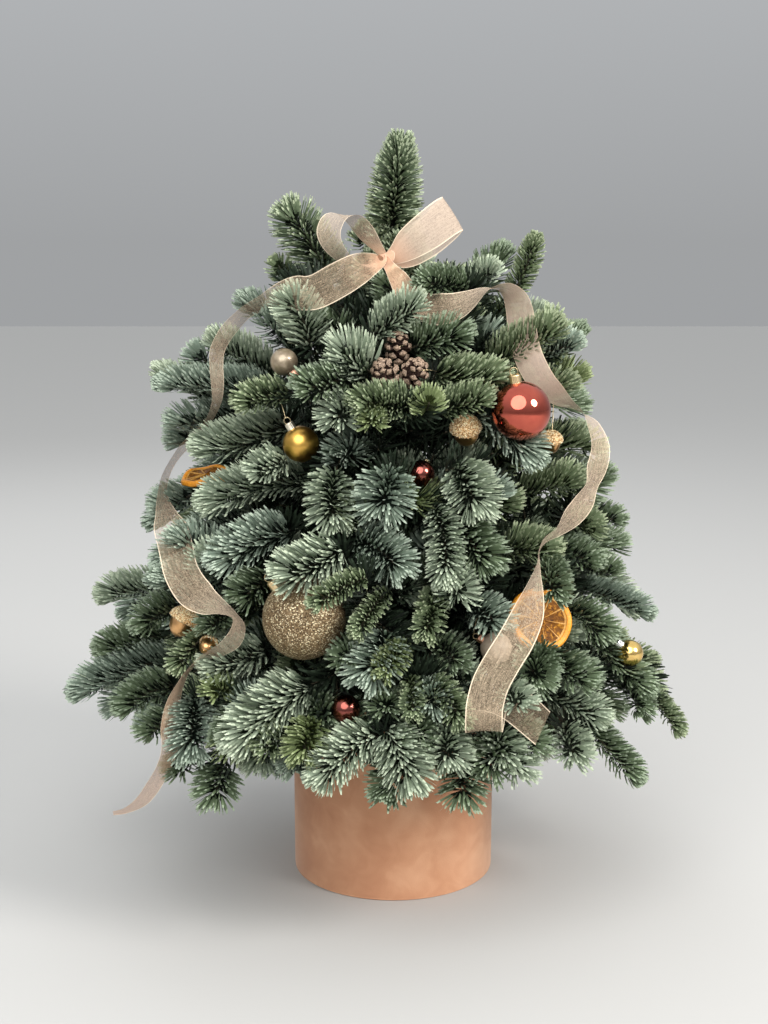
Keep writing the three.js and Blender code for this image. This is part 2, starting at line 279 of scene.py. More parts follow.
# Trunk and boughs
# The trunk is cut flat, stands in the foam and leans a little as it rises. Tiers of boughs
# leave it from the pot's rim to the top, and all of them have thin, scaly grey-brown bark.
TRUNK_LINE = np.array(((0, 0, 34), (6, 3, 241), (-5, -3, 448)), dtype=float)
TRUNK_FOOT_RADIUS = 10.5
TRUNK_TIP_RADIUS = 3.6
TIER_COLUMNS = ("name", "boughs", "height", "first", "left", "right", "arch", "lift", "fill")
TIERS = [dict(zip(TIER_COLUMNS, row)) for row in (
    ("skirt", 7, 172, 180, (262, 146), (238, 130), 38, 12, 0.92),
    ("low", 5, 202, 182, (238, 218), (218, 204), 24, 0, 0.92),
    ("middle", 5, 240, -6, (218, 264), (188, 282), 10, 0, 0.92),
    ("waist", 4, 286, 196, (188, 322), (170, 350), 2, 0, 0.92),
    ("upper", 4, 336, -8, (190, 394), (150, 428), -6, 0, 0.88),
    ("shoulder", 3, 396, -24, (108, 520), (118, 505), -14, -34, 0.6),
)]
LEADER_TOP = np.array((6.0, -2.0, 580.0))
LEADER_NECK = (24, 532)
LEADER_BEND = np.array((-3, 0, 0))
FRONT_SHARE = 0.9
SKIRT_DROOP = 30
LEADER_SPACING = 7
LEADER_WHORL = 44
LEADER_LONGEST = 50
STAGGER = 6
AZIMUTH_PLAY = 5
REACH_PLAY = 0.04
TIP_PLAY = 8
LIMB_SHARE = 0.25
LIMB_TO_TRUNK = 0.4
LIMB_END_RADIUS = 2.4
LINE_POINTS = 10
GAP = 0.3
SEED = 41
LUMPS = ((1.0, 0.16), (0.6, 0.55))  # how high, and how many a millimetre


def seeded(seed):
    """Numbers from 0 to 1, the same ones each time for one seed."""
    state = (seed * 7919 + 12345) % 2147483647

    def following():
        nonlocal state
        state = state * 16807 % 2147483647
        return state / 2147483647

    following()
    following()
    return following


def vary(random, share):
    return 1 + share * (2 * random() - 1)


def unit(vectors):
    vectors = np.asarray(vectors, dtype=float)
    return vectors / np.maximum(np.linalg.norm(vectors, axis=-1, keepdims=True), 1e-9)


def on_line(line, t):
    """Points of a quadratic curve that is given by its start, its bend and its end."""
    t = np.asarray(t, dtype=float)[..., None]
    return (1 - t) ** 2 * line[0] + 2 * t * (1 - t) * line[1] + t ** 2 * line[2]


def heading_on(line, t):
    t = np.asarray(t, dtype=float)[..., None]
    return unit((1 - t) * (line[1] - line[0]) + t * (line[2] - line[1]))


def length_of(line):
    return np.linalg.norm(np.diff(on_line(line, np.linspace(0, 1, 201)), axis=0), axis=1).sum()


def upward_of(line):
    """The direction that a twig's upper side faces."""
    run = unit(line[2] - line[0])
    return np.array((0.0, 1.0, 0.0)) if abs(run[2]) > 0.9 else np.array((0.0, 0.0, 1.0))


def across(heading, upward):
    """Two directions square to a heading, the second one as near to upward as it can be."""
    side = unit(np.cross(heading, upward))
    return side, unit(np.cross(side, heading))


def tips_at(tier, azimuth):
    """How far out and how high a tier's tips are at an azimuth."""
    rightness = (1 + np.cos(azimuth)) / 2
    roundness = 1 + (FRONT_SHARE - 1) * np.sin(azimuth) ** 2
    reach = tier["left"][0] + (tier["right"][0] - tier["left"][0]) * rightness
    height = tier["left"][1] + (tier["right"][1] - tier["left"][1]) * rightness
    return reach * roundness, height + tier["lift"] * np.sin(azimuth) ** 2


def trunk_share(z):
    return (z - TRUNK_LINE[0, 2]) / (TRUNK_LINE[2, 2] - TRUNK_LINE[0, 2])


def trunk_radius(z):
    return TRUNK_FOOT_RADIUS + (TRUNK_TIP_RADIUS - TRUNK_FOOT_RADIUS) * np.clip(trunk_share(z), 0, 1)


class Carrier:
    """A bough with the stem that goes on from it, or the leader's stem, as one curve."""

    def __init__(self, name, line, limb_share, radius, random):
        self.name = name
        self.line = line
        self.limb_share = limb_share
        self.radius = radius
        self.random = random
        self.length = length_of(line)
        self.chain = on_line(line, np.linspace(0, 1, LINE_POINTS + 1))
        self.stem_start = limb_share + GAP / self.length


def bough_of(tier, index, i):
    """One bough of a tier: every other one starts higher on the trunk than its neighbours."""
    random = seeded(SEED + 100 * index + i)
    azimuth = math.radians(tier["first"] + 360 / tier["boughs"] * i + AZIMUTH_PLAY * (2 * random() - 1))
    reach, tip_height = tips_at(tier, azimuth)
    reach *= vary(random, REACH_PLAY)
    tip_height += TIP_PLAY * (2 * random() - 1)
    between = i % 2 == 0 and i == tier["boughs"] - 1
    height = tier["height"] + (0 if between else STAGGER if i % 2 else -STAGGER)
    root = on_line(TRUNK_LINE, trunk_share(height))
    tip = np.array((reach * math.cos(azimuth), reach * math.sin(azimuth), tip_height))
    bend = (root + tip) / 2 + np.array((0, 0, tier["arch"]))
    line = np.array((root, bend, tip))
    name = f"{tier['name']}_{i + 1}"
    return Carrier(name, line, LIMB_SHARE, LIMB_TO_TRUNK * trunk_radius(height), random)


boughs = [bough_of(tier, index, i) for index, tier in enumerate(TIERS) for i in range(tier["boughs"])]
leader_root = TRUNK_LINE[2] + np.array((0, 0, GAP))
leader_line = np.array((leader_root, (TRUNK_LINE[2] + LEADER_TOP) / 2 + LEADER_BEND, LEADER_TOP))
leader = Carrier("leader", leader_line, 0, TRUNK_TIP_RADIUS, seeded(SEED - 1))
carriers = [*boughs, leader]


def tube(line, start, end, start_radius, end_radius, sides, steps, relief=0.0, seed=0):
    """A tapering tube along part of a curve, closed at both ends, with lumps as high as relief."""
    shares = np.linspace(start, end, steps + 1)
    centre = on_line(line, shares)
    forward = heading_on(line, np.clip(shares, 0, 1))
    side, up = across(forward, upward_of(line))
    turn = np.linspace(0, 2 * math.pi, sides, endpoint=False)
    taper = np.linspace(start_radius, end_radius, steps + 1)
    out = side[:, None] * np.cos(turn)[:, None] + up[:, None] * np.sin(turn)[:, None]
    rings = centre[:, None] + out * taper[:, None, None]
    if relief:
        flat = rings.reshape(-1, 3)
        lumps = np.array([
            sum(height * noise.noise(Vector(point * fineness + seed)) for height, fineness in LUMPS)
            for point in flat
        ])
        rings = rings + out * (lumps.reshape(len(shares), sides, 1) * relief * taper[:, None, None])
    corners = np.concatenate([rings.reshape(-1, 3), centre[:1], centre[-1:]])
    ring = np.arange(sides)
    after = (ring + 1) % sides
    last = steps * sides
    root = np.full(sides, len(corners) - 2)
    tip = np.full(sides, len(corners) - 1)
    return corners, np.concatenate([
        ring_faces(steps + 1, sides)[:, ::-1],
        np.stack([root, ring, after, root], axis=1),
        np.stack([tip, last + after, last + ring, tip], axis=1),
    ])


def triangles(faces):
    """Splits quads into triangles and drops the ones that have no area."""
    split = np.concatenate([faces[:, [0, 1, 2]], faces[:, [0, 2, 3]]])
    return split[(split[:, 0] != split[:, 2]) & (split[:, 1] != split[:, 2]) & (split[:, 0] != split[:, 1])]


def joined(parts):
    """Joins (corners, faces) pairs into one pair."""
    offset = 0
    corners = []
    faces = []
    for part_corners, part_faces in parts:
        corners.append(part_corners)
        faces.append(triangles(part_faces) + offset if part_faces.shape[1] == 4 else part_faces + offset)
        offset += len(part_corners)
    return np.concatenate(corners), np.concatenate(faces)


bark, paint = new_material("bark", Roughness=0.88)
place = paint.node("TexCoord", output="Object")
flakes = paint.node("TexVoronoi", {"feature": "F1"}, {"Vector": place, "Scale": 520, "Randomness": 1})
mottling = paint.node("TexNoise", values={"Vector": place, "Scale": 240, "Detail": 5})
age = flakes * 0.5 + mottling * 0.7
feed(
    bark,
    Base_Color=age.coloured((0.3, (0.05, 0.034, 0.024)), (0.85, (0.21, 0.15, 0.105))),
    Normal=age.raised(0.7, 0.0012),
)

trunk = new_piece("trunk_bark", "bark", *joined([
    tube(TRUNK_LINE, 0, 1, TRUNK_FOOT_RADIUS, TRUNK_TIP_RADIUS, 28, 120, relief=0.1),
]), [bark])
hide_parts("trunk")

limbs = new_piece("bough_bark", "bark", *joined([
    tube(bough.line, 0.01, LIMB_SHARE, bough.radius, LIMB_END_RADIUS, 14, 22, relief=0.12, seed=i)
    for i, bough in enumerate(boughs)
]), [bark])
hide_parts(*[f"bough_{bough.name}" for bough in boughs])


# Shoots
# Each bough goes on as a stem whose shoots leave it by turns round it, as far as the mass of
# foliage has room. Each shoot is this year's or last year's wood, thin, straight and green-brown.
STEM_RADIUS = 1.9
FIRST_SHOOT = 8
SHOOT_SPACING = 22
SHOOTLESS_END = 35
BUD_LENGTH = 8
SHOOT_BASE = 46
SHOOT_GROWTH = 0.5
LONGEST_SHOOT = 105
SHORTEST_SHOOT = 27
SHORTENING = 6
GOLDEN_TURN = math.radians(137.5)
SHOOT_FLATNESS = 0.85
SHOOT_FAN = 56
SHOOT_SWEEP = 0.35
SHOOT_ROOM = 8
OUTLINE_PLAY = 10
ROOM_SAMPLES = (0.45, 0.6, 0.75, 0.9, 1.0)

stretch_starts = np.array([carrier.chain[:-1] for carrier in carriers])
stretch_runs = np.array([np.diff(carrier.chain, axis=0) for carrier in carriers])
stretch_squares = (stretch_runs ** 2).sum(2)
carrier_radii = np.array([carrier.radius for carrier in carriers])
limb_stretches = math.ceil(LIMB_SHARE * LINE_POINTS)


def stretch_distances(points):
    """The distance of each point to each stretch of each carrier."""
    offset = points[:, None, None] - stretch_starts
    share = np.clip((offset * stretch_runs).sum(3) / stretch_squares, 0, 1)
    return np.linalg.norm(offset - share[..., None] * stretch_runs, axis=3)


def crown_reach(points):
    """How far the crown reaches at each point's height and azimuth."""
    azimuth = np.arctan2(points[:, 1], points[:, 0])
    rows = [(tips[0] * tier["fill"], tips[1]) for tier in TIERS for tips in [tips_at(tier, azimuth)]]
    rows.append((np.full(len(points), float(LEADER_NECK[0])), np.full(len(points), float(LEADER_NECK[1]))))
    reach = rows[0][0].copy()
    for (low_reach, low), (high_reach, high) in zip(rows, rows[1:]):
        share = np.clip((points[:, 2] - low) / (high - low), 0, 1)
        reach = np.where(points[:, 2] >= low, low_reach + (high_reach - low_reach) * share, reach)
    return reach


def room(points, index):
    """How far points are from the limits of one mass's own space, as in the source's rule."""
    distances = stretch_distances(points)
    whole = distances.min(2)
    others = np.delete(whole, index, axis=1).min(1)
    free = (others - whole[:, index]) / 2
    free = np.minimum(free, (distances[:, :-1, :limb_stretches].min(2) - carrier_radii[:-1] - 1).min(1))
    axis = on_line(TRUNK_LINE, trunk_share(points[:, 2]))
    off_axis = np.hypot(points[:, 0] - axis[:, 0], points[:, 1] - axis[:, 1])
    trunk_room = off_axis - trunk_radius(points[:, 2]) - 1
    free = np.minimum(free, np.where(points[:, 2] < TRUNK_LINE[2, 2], trunk_room, np.inf))
    out = np.hypot(points[:, 0], points[:, 1])
    free = np.minimum(free, crown_reach(points) + OUTLINE_PLAY - out)
    azimuth = np.arctan2(points[:, 1], points[:, 0])
    free = np.minimum(free, points[:, 2] - tips_at(TIERS[0], azimuth)[1] + SKIRT_DROOP)
    return np.minimum(free, np.maximum(out - POT_RADIUS, points[:, 2] - POT_HEIGHT) - 1)


def part_of(line, start, end):
    first, middle, last = on_line(line, (start, (start + end) / 2, end))
    return np.array((first, 2 * middle - (first + last) / 2, last))


def fitted(index, parent, t, turn, fan, wanted, shortest, least_room):
    """A side shoot, cut shorter until it has room, or nothing where it stays too short."""
    start = on_line(parent, t)
    forward = heading_on(parent, t)
    side, up = across(forward, upward_of(parent))
    outward = unit(side * math.cos(turn) + up * SHOOT_FLATNESS * math.sin(turn))
    heading = forward * math.cos(fan) + outward * math.sin(fan)
    swept = unit(heading + forward * SHOOT_SWEEP)
    length = wanted
    while length >= shortest:
        line = np.array((start, start + heading * length / 2, start + swept * length))
        if (room(on_line(line, ROOM_SAMPLES), index) >= least_room).all():
            return line
        length -= SHORTENING
    return None


class Shoot:
    """A twig that carries needles: its curve, its mass's number, its kind, tint and fullness."""

    def __init__(self, line, index, kind, tint=None, size=1.0):
        self.line = line
        self.index = index
        self.kind = kind
        self.tint = tint
        self.size = size
        self.length = length_of(line)


def main_shoots(index, carrier):
    """The stem's own end and the side shoots, as the source's rule gives them."""
    random = carrier.random
    start = carrier.stem_start
    stem = carrier.length * (1 - start)
    end = part_of(carrier.line, start + FIRST_SHOOT / carrier.length, 1 - BUD_LENGTH / carrier.length)
    made = [Shoot(end, index, "end", "dark" if carrier is leader else None)]
    turn = math.radians(360 * random())
    along = FIRST_SHOOT
    spacing = LEADER_SPACING if carrier is leader else SHOOT_SPACING
    last = LEADER_WHORL if carrier is leader else stem - SHOOTLESS_END
    longest = LEADER_LONGEST if carrier is leader else LONGEST_SHOOT
    while along < last:
        wanted = min(longest, SHOOT_BASE + SHOOT_GROWTH * (stem - along))
        fan = math.radians(SHOOT_FAN * vary(random, 0.15))
        wanted *= vary(random, 0.1)
        line = fitted(index, carrier.line, start + along / carrier.length, turn, fan, wanted,
                      SHORTEST_SHOOT, SHOOT_ROOM)
        if line is not None:
            made.append(Shoot(line, index, "side"))
        turn += GOLDEN_TURN
        along += spacing * vary(random, 0.2)
    return made


shoots = [shoot for index, carrier in enumerate(carriers) for shoot in main_shoots(index, carrier)]


# Sprays
# The outermost twigs of the front lie one over the other like roof tiles. Each grows out of the
# nearest shoot behind it, and a shoot that would stand in front of one is cut back.
SEEN_NEAR = 700.0
SEEN_FAR = 1500.0
SEEN_STEP = 2.0
SPRAY_BRUSH = 12.0
SPRAY_STEEPNESS = 0.85
SPRAY_BEND = 0.14
SPRAY_TIP_SUNK = 4.0
SPRAY_ROOT_SUNK = 28.0
SPRAY_LEAN = 10.0
SPRAY_ROOM = 17.0
COVERED_DEPTH = 90.0
CUT_BACKS = (1.0, 0.85, 0.7, 0.55, 0.4)
WHORL_CUT = 0.55
SPRAY_ARCH = 0.05
STALK_LEAST = 6
CARRIED_WITHIN = 3
SPRAYS_AT_THE_TOP = (  # tip x and y, foot x and y, tint, nearness, size
    (282, 200, 326, 276, "dark", 0, 1.1), (272, 258, 296, 285, "fresh", 0, 0.6),
    (388, 270, 392, 318, "deep", 0, 0.8), (444, 260, 454, 292, "fresh", -8, 0.75),
    (416, 284, 464, 288, "deep", 14, 0.8), (501, 266, 460, 292, "sage", 0, 0.8),
    (539, 232, 490, 326, "fresh", 0, 0.55), (286, 285, 310, 348, "sage", 20, 1.0),
    (259, 310, 298, 352, "blue", 0, 1.0), (204, 338, 274, 371, "sage", 0, 1.0),
    (327, 343, 371, 374, "sage", 8, 1.15), (427, 297, 373, 334, "sage", 20, 0.9),
    (474, 332, 410, 349, "deep", 0, 0.95), (567, 324, 487, 362, "fresh", 58, 1.0),
    (584, 342, 535, 356, "blue", 38, 0.75),
)
SPRAYS_ABOVE = (
    (152, 386, 273, 387, "blue", 5, 0.85), (292, 392, 346, 377, "deep", 5, 0.9),
    (233, 406, 288, 393, "fresh", 0, 0.8), (347, 403, 415, 408, "fresh", 8, 0.85),
    (432, 396, 425, 412, "young", 14, 0.75), (497, 396, 440, 409, "fresh", 8, 0.8),
    (512, 382, 436, 372, "fresh", 5, 0.95), (191, 455, 288, 424, "sage", 8, 1.1),
    (328, 428, 352, 404, "sage", 5, 0.95), (372, 430, 372, 412, "young", 10, 0.65),
    (541, 466, 479, 413, "blue", 8, 1.05), (246, 476, 286, 458, "sage", 5, 0.8),
    (196, 507, 306, 480, "sage", 5, 1.05), (151, 513, 206, 486, "blue", 8, 1.0),
    (208, 568, 290, 530, "blue", 5, 1.05), (334, 536, 334, 474, "sage", 8, 1.05),
    (378, 524, 388, 474, "blue", 14, 1.2), (342, 528, 366, 500, "fresh", 3, 0.9),
    (273, 585, 340, 548, "sage", 26, 1.1), (410, 577, 358, 540, "blue", 10, 1.0),
    (483, 521, 458, 468, "sage", 12, 1.15), (586, 480, 520, 490, "fresh", 5, 1.0),
    (447, 592, 436, 508, "sage", 10, 0.8), (494, 577, 460, 520, "deep", 8, 1.1),
    (562, 552, 504, 549, "fresh", 0, 0.95), (597, 532, 572, 520, "fresh", 5, 0.85),
    (625, 524, 588, 512, "deep", 0, 0.7), (602, 566, 560, 548, "deep", 0, 0.85),
    (622, 574, 586, 567, "deep", -5, 0.75), (556, 604, 548, 562, "deep", 14, 0.8),
)
SPRAYS_ON_THE_LEFT = (
    (95, 597, 184, 590, "sage", 0, 0.95), (133, 630, 176, 607, "deep", 0, 0.9),
    (93, 653, 172, 632, "deep", -5, 0.95), (68, 698, 176, 658, "blue", 5, 1.05),
    (115, 714, 172, 684, "deep", -10, 0.95), (140, 741, 172, 716, "deep", -10, 0.85),
    (171, 674, 208, 634, "fresh", 15, 0.6), (204, 637, 228, 609, "deep", 5, 0.75),
    (198, 672, 264, 649, "sage", 0, 0.95), (203, 694, 232, 688, "young", 5, 0.7),
    (225, 753, 309, 685, "sage", 8, 1.15), (191, 766, 194, 700, "blue", 5, 1.05),
    (212, 812, 222, 766, "deep", 0, 1.0), (252, 755, 290, 731, "fresh", 5, 0.8),
    (174, 780, 188, 752, "deep", -5, 0.8), (298, 766, 313, 722, "young", 8, 0.9),
    (310, 788, 374, 733, "sage", 10, 0.95), (233, 607, 268, 574, "deep", 0, 0.95),
)
SPRAYS_IN_THE_MIDDLE = (
    (417, 797, 388, 730, "sage", 10, 1.1), (451, 775, 447, 732, "sage", 8, 1.05),
    (462, 812, 462, 766, "deep", 0, 1.0), (416, 748, 417, 722, "deep", 3, 0.9),
    (413, 722, 411, 678, "fresh", 12, 0.5), (429, 718, 430, 684, "blue", 5, 0.9),
    (467, 730, 431, 680, "fresh", 12, 0.65), (386, 717, 386, 697, "deep", 0, 0.8),
    (379, 681, 404, 645, "young", 12, 0.65), (361, 691, 385, 636, "blue", 8, 1.15),
    (343, 668, 352, 645, "deep", 3, 0.8), (423, 644, 437, 590, "fresh", 12, 0.65),
    (464, 670, 437, 644, "deep", -6, 0.75), (368, 740, 338, 710, "deep", -12, 0.9),
    (336, 728, 312, 700, "deep", -14, 0.9), (461, 606, 452, 578, "sage", 14, 0.95),
    (353, 640, 388, 590, "fresh", 14, 0.5), (308, 608, 366, 578, "fresh", 36, 0.55),
)
SPRAYS_ON_THE_RIGHT = (
    (508, 632, 473, 605, "blue", 5, 0.95), (530, 711, 505, 688, "sage", 36, 0.75),
    (486, 783, 496, 737, "deep", 0, 1.0), (527, 782, 505, 751, "sage", 0, 0.95),
    (545, 755, 513, 732, "deep", 0, 0.95), (507, 771, 498, 735, "sage", 3, 1.0),
    (655, 617, 572, 586, "blue", 0, 0.78), (613, 641, 572, 610, "deep", 3, 0.88),
    (651, 699, 595, 634, "deep", 3, 0.88), (682, 737, 649, 694, "fresh", 0, 0.58),
    (645, 719, 620, 680, "deep", -5, 0.8), (610, 723, 545, 692, "sage", 3, 0.9),
    (642, 785, 577, 714, "deep", 3, 0.78), (578, 768, 565, 730, "sage", 3, 0.9),
    (530, 693, 545, 646, "deep", 3, 1.0), (596, 690, 556, 659, "deep", 0, 1.0),
)


def pixel_ray(px, py):
    """The direction from the camera through a point of the picture."""
    across_picture = (px - PHOTO_WIDTH / 2) / FOCAL_PIXELS
    down_picture = (py - PHOTO_HEIGHT / 2) / FOCAL_PIXELS
    sine = math.sin(CAMERA_PITCH)
    cosine = math.cos(CAMERA_PITCH)
    return unit((across_picture, cosine - sine * down_picture, -sine - cosine * down_picture))


def how_far(px, py, sunk):
    """How far from the camera a pixel's ray is sunk so deep under the crown's outline."""
    far = np.arange(SEEN_NEAR, SEEN_FAR, SEEN_STEP)
    points = CAMERA_PLACE + pixel_ray(px, py) * far[:, None]
    depth = crown_reach(points) - np.hypot(points[:, 0], points[:, 1])
    inside = depth > sunk
    return far[np.argmax(inside)] if inside.any() else far[np.argmax(depth)]


def spray(tip_x, tip_y, foot_x, foot_y, tint, nearness, size):
    """A spray whose tip and foot are seen at two places of the picture."""
    tip_far = how_far(tip_x, tip_y, SPRAY_TIP_SUNK)
    foot_far = how_far(foot_x, foot_y, SPRAY_ROOT_SUNK)
    tip = CAMERA_PLACE + pixel_ray(tip_x, tip_y) * (tip_far - nearness)
    foot = CAMERA_PLACE + pixel_ray(foot_x, foot_y) * (tip_far - nearness)
    deepest = SPRAY_LEAN + SPRAY_STEEPNESS * np.linalg.norm(tip - foot)
    foot += pixel_ray(foot_x, foot_y) * np.clip(foot_far - tip_far, SPRAY_LEAN, deepest)
    tip -= unit(tip - foot) * SPRAY_BRUSH * size
    aside = np.cross(tip - foot, pixel_ray(tip_x, tip_y)) * SPRAY_BEND * (2 * spray_random() - 1)
    bend = (tip + foot) / 2 + aside + np.array((0, 0, SPRAY_ARCH * np.linalg.norm(tip - foot)))
    return Shoot(np.array((foot, bend, tip)), -1, "spray", tint, size)


spray_random = seeded(SEED + 77)
SPRAYS = (*SPRAYS_AT_THE_TOP, *SPRAYS_ABOVE, *SPRAYS_ON_THE_LEFT, *SPRAYS_IN_THE_MIDDLE, *SPRAYS_ON_THE_RIGHT)
sprays = [spray(*row) for row in SPRAYS]
spray_points = np.concatenate([on_line(shoot.line, np.linspace(0.15, 1, 8)) for shoot in sprays])


def is_free_of_sprays(shoot):
    """Whether a shoot neither touches a spray nor stands between one and the viewer."""
    points = on_line(shoot.line, np.linspace(0.25, 1, 7))
    offset = points[:, None] - spray_points
    towards = unit(CAMERA_PLACE - spray_points)
    along = np.clip((offset * towards).sum(2), 0, COVERED_DEPTH)
    return np.linalg.norm(offset - along[..., None] * towards, axis=2).min() > SPRAY_ROOM


def cut_back(shoot):
    """A main shoot, as long as the sprays leave it, with at least its foot."""
    if shoot.index == len(carriers) - 1:
        if shoot.kind == "end":
            return shoot
        return Shoot(part_of(shoot.line, 0, WHORL_CUT), shoot.index, shoot.kind, "dark")
    for share in CUT_BACKS:
        shorter = Shoot(part_of(shoot.line, 0, share), shoot.index, shoot.kind)
        if is_free_of_sprays(shorter):
            return shorter
    return Shoot(part_of(shoot.line, 0, CUT_BACKS[-1]), shoot.index, "bare")


shoots = [cut_back(shoot) for shoot in shoots]
wood = np.concatenate([on_line(shoot.line, np.linspace(0.05, 0.95, 14)) for shoot in shoots] + [
    on_line(bough.line, np.linspace(0.1, 0.6, 8)) for bough in boughs
])
stalks = []
for shoot in sprays:
    foot = shoot.line[0]
    nearest = wood[np.linalg.norm(wood - foot, axis=1).argmin()]
    stalks.append(Shoot(np.array((nearest, (nearest + foot) / 2, foot)), -1, "bare"))
carried_feet = np.array([shoot.line[0] for shoot in [s for s in shoots if s.kind != "bare"] + stalks])


def carries_something(shoot):
    """Whether a spray's stalk or a side shoot stands on a bare shoot."""
    points = on_line(shoot.line, np.linspace(0, 1, 30))
    return np.linalg.norm(carried_feet[:, None] - points, axis=2).min() < CARRIED_WITHIN


shoots = [shoot for shoot in shoots if shoot.kind != "bare" or carries_something(shoot)]
shoots += sprays + [stalk for stalk in stalks if stalk.length > STALK_LEAST]
spread_points = [on_line(shoot.line, np.linspace(0.25, 1, 6)) for shoot in shoots]


def add_if_apart(line, index, kind, spread):
    """Adds a shoot where its outer half keeps apart from every shoot that is there already."""
    outer = on_line(line, (0.6, 0.8, 1.0))
    gaps = np.linalg.norm(np.concatenate(spread_points)[:, None] - outer, axis=2)
    shoot = Shoot(line, index, kind)
    if gaps.min() < spread or not is_free_of_sprays(shoot):
        return
    shoots.append(shoot)
    spread_points.append(on_line(line, np.linspace(0.25, 1, 6)))


# Covering shoots
# All round, the youngest twigs lie over the crown and close it: they hang over its lower
# half, stand out at its waist and rise at its top.
COVER_HEIGHTS = (132, 500)
COVER_DROOPS = ((130, 52), (250, 40), (330, 22), (420, -10), (500, -50))  # heights and degrees
COVER_PASSES = ((420, 96, 26), (420, 66, 21))  # how many are tried, how long and how far apart
COVER_PLAY = 34
COVER_HOLD = 34.0
COVER_SUNK = 9.0
COVER_TWIST = 0.7549
COVER_SKEW = 0.86  # the nearer to 1, the more of them start low
COVER_SHORTEST = 38
COVER_FACING = 0.3


def drooping(azimuth, z, sideways):
    """The direction that the outer twigs take at a place of the crown."""
    droop = math.radians(np.interp(z, *np.transpose(COVER_DROOPS)))
    level = math.cos(droop)
    round_trunk = azimuth + sideways
    return np.array((math.cos(round_trunk) * level, math.sin(round_trunk) * level, -math.sin(droop)))


for tries, longest, spread in COVER_PASSES:
    random = seeded(SEED + tries + longest)
    for k in range(tries):
        share = (k * COVER_TWIST + random() * 0.01) % 1
        rise = (1 - math.sqrt(1 - COVER_SKEW * share)) / (1 - math.sqrt(1 - COVER_SKEW))
        z = COVER_HEIGHTS[0] + (COVER_HEIGHTS[1] - COVER_HEIGHTS[0]) * rise
        azimuth = GOLDEN_TURN * k + 0.3 * random()
        heading = drooping(azimuth, z, math.radians(COVER_PLAY * (2 * random() - 1)))
        around = np.array((math.cos(azimuth), math.sin(azimuth), 0.0))
        reach = crown_reach(np.array(((*around[:2] * 10, z),)))[0] - COVER_SUNK * random()
        tip = around * reach + np.array((0, 0, z))
        wanted = tip - heading * longest * vary(random, 0.2)
        gaps = np.linalg.norm(wood - wanted, axis=1)
        if gaps.min() > COVER_HOLD:
            continue
        root = wood[gaps.argmin()]
        long = np.linalg.norm(tip - root)
        if long < COVER_SHORTEST:
            continue
        line = np.array((root, tip - heading * long * 0.5, tip))
        if (unit(line[1] - root) * heading).sum() > COVER_FACING:
            add_if_apart(line, -1, "cover", spread)


# Finer shoots
# Between the longer shoots stand finer ones, which leave them by turns or to both sides. The
# ones near the crown's outline hang or rise as the covering shoots do.
FINE_SPACING = 9
FINE_ROOM = 5.5
FINE_SPREAD = 17
FINE_START = 0.14
FINE_CARRIER = 34
FINE_END = 16
FINE_BASE = 26
FINE_GROWTH = 0.6
FINE_SHORTEST = 24
FINE_LONGEST = 78
FINE_FAN = 48
FINE_PLAY = 25
HANGING_DEPTH = 32


def hanging(line, index):
    """A fine shoot whose outer half hangs as the covering ones do, where it nears the outline."""
    tip = line[2]
    if crown_reach(tip[None])[0] - math.hypot(tip[0], tip[1]) > HANGING_DEPTH:
        return line
    drawn = drooping(math.atan2(tip[1], tip[0]), tip[2], 0)
    tip = line[1] + unit(unit(tip - line[0]) + drawn) * np.linalg.norm(tip - line[0]) / 2
    hung = np.array((line[0], line[1], tip))
    return hung if (room(on_line(hung, (0.75, 0.9, 1.0)), index) >= FINE_ROOM).all() else line


for shoot in [shoot for shoot in shoots if shoot.kind in ("end", "side") and shoot.index < len(boughs)]:
    random = seeded(SEED + 7 * len(spread_points))
    turn = math.radians(360 * random() if shoot.kind == "end" else FINE_PLAY * random())
    along = FINE_START * shoot.length
    while shoot.length > FINE_CARRIER and along < shoot.length - FINE_END:
        wanted = min(FINE_LONGEST, FINE_BASE + FINE_GROWTH * (shoot.length - along)) * vary(random, 0.15)
        fan = math.radians(FINE_FAN * vary(random, 0.2))
        line = fitted(shoot.index, shoot.line, along / shoot.length, turn, fan, wanted,
                      FINE_SHORTEST, FINE_ROOM)
        if line is not None:
            add_if_apart(hanging(line, shoot.index), shoot.index, "fine", FINE_SPREAD)
        turn += GOLDEN_TURN if shoot.kind == "end" else math.pi + math.radians(FINE_PLAY * (2 * random() - 1))
        along += FINE_SPACING * vary(random, 0.2)


# Old shoots
# Short shoots on the bare wood near the trunk and on the trunk itself, which close the crown's
# dark inside. Their needles are few and painted almost black, as painted shade of the crown's inside.
OLD_SHARES = (0.09, 0.62, 0.03)  # from, to and step along a bough
OLD_FAN = math.radians(60)
OLD_SHORTEST = 18
OLD_LONGEST = 46
OLD_ROOM = 1.5
OLD_DEPTH = 22
TRUNK_HEIGHTS = (160, 440, 2.6)  # from, to and step up the trunk
TRUNK_SHORTEST = 40
TRUNK_GROWTH = 42 / 276

for index, bough in enumerate(boughs):
    random = seeded(SEED + 900 + index)
    turn = math.radians(360 * random())
    for t in np.arange(*OLD_SHARES):
        wanted = OLD_LONGEST * vary(random, 0.3)
        line = fitted(index, bough.line, t, turn, OLD_FAN, wanted, OLD_SHORTEST, OLD_ROOM)
        if line is not None and crown_reach(line[2:])[0] - math.hypot(line[2][0], line[2][1]) > OLD_DEPTH:
            shoots.append(Shoot(line, index, "old_in_shade"))
        turn += GOLDEN_TURN

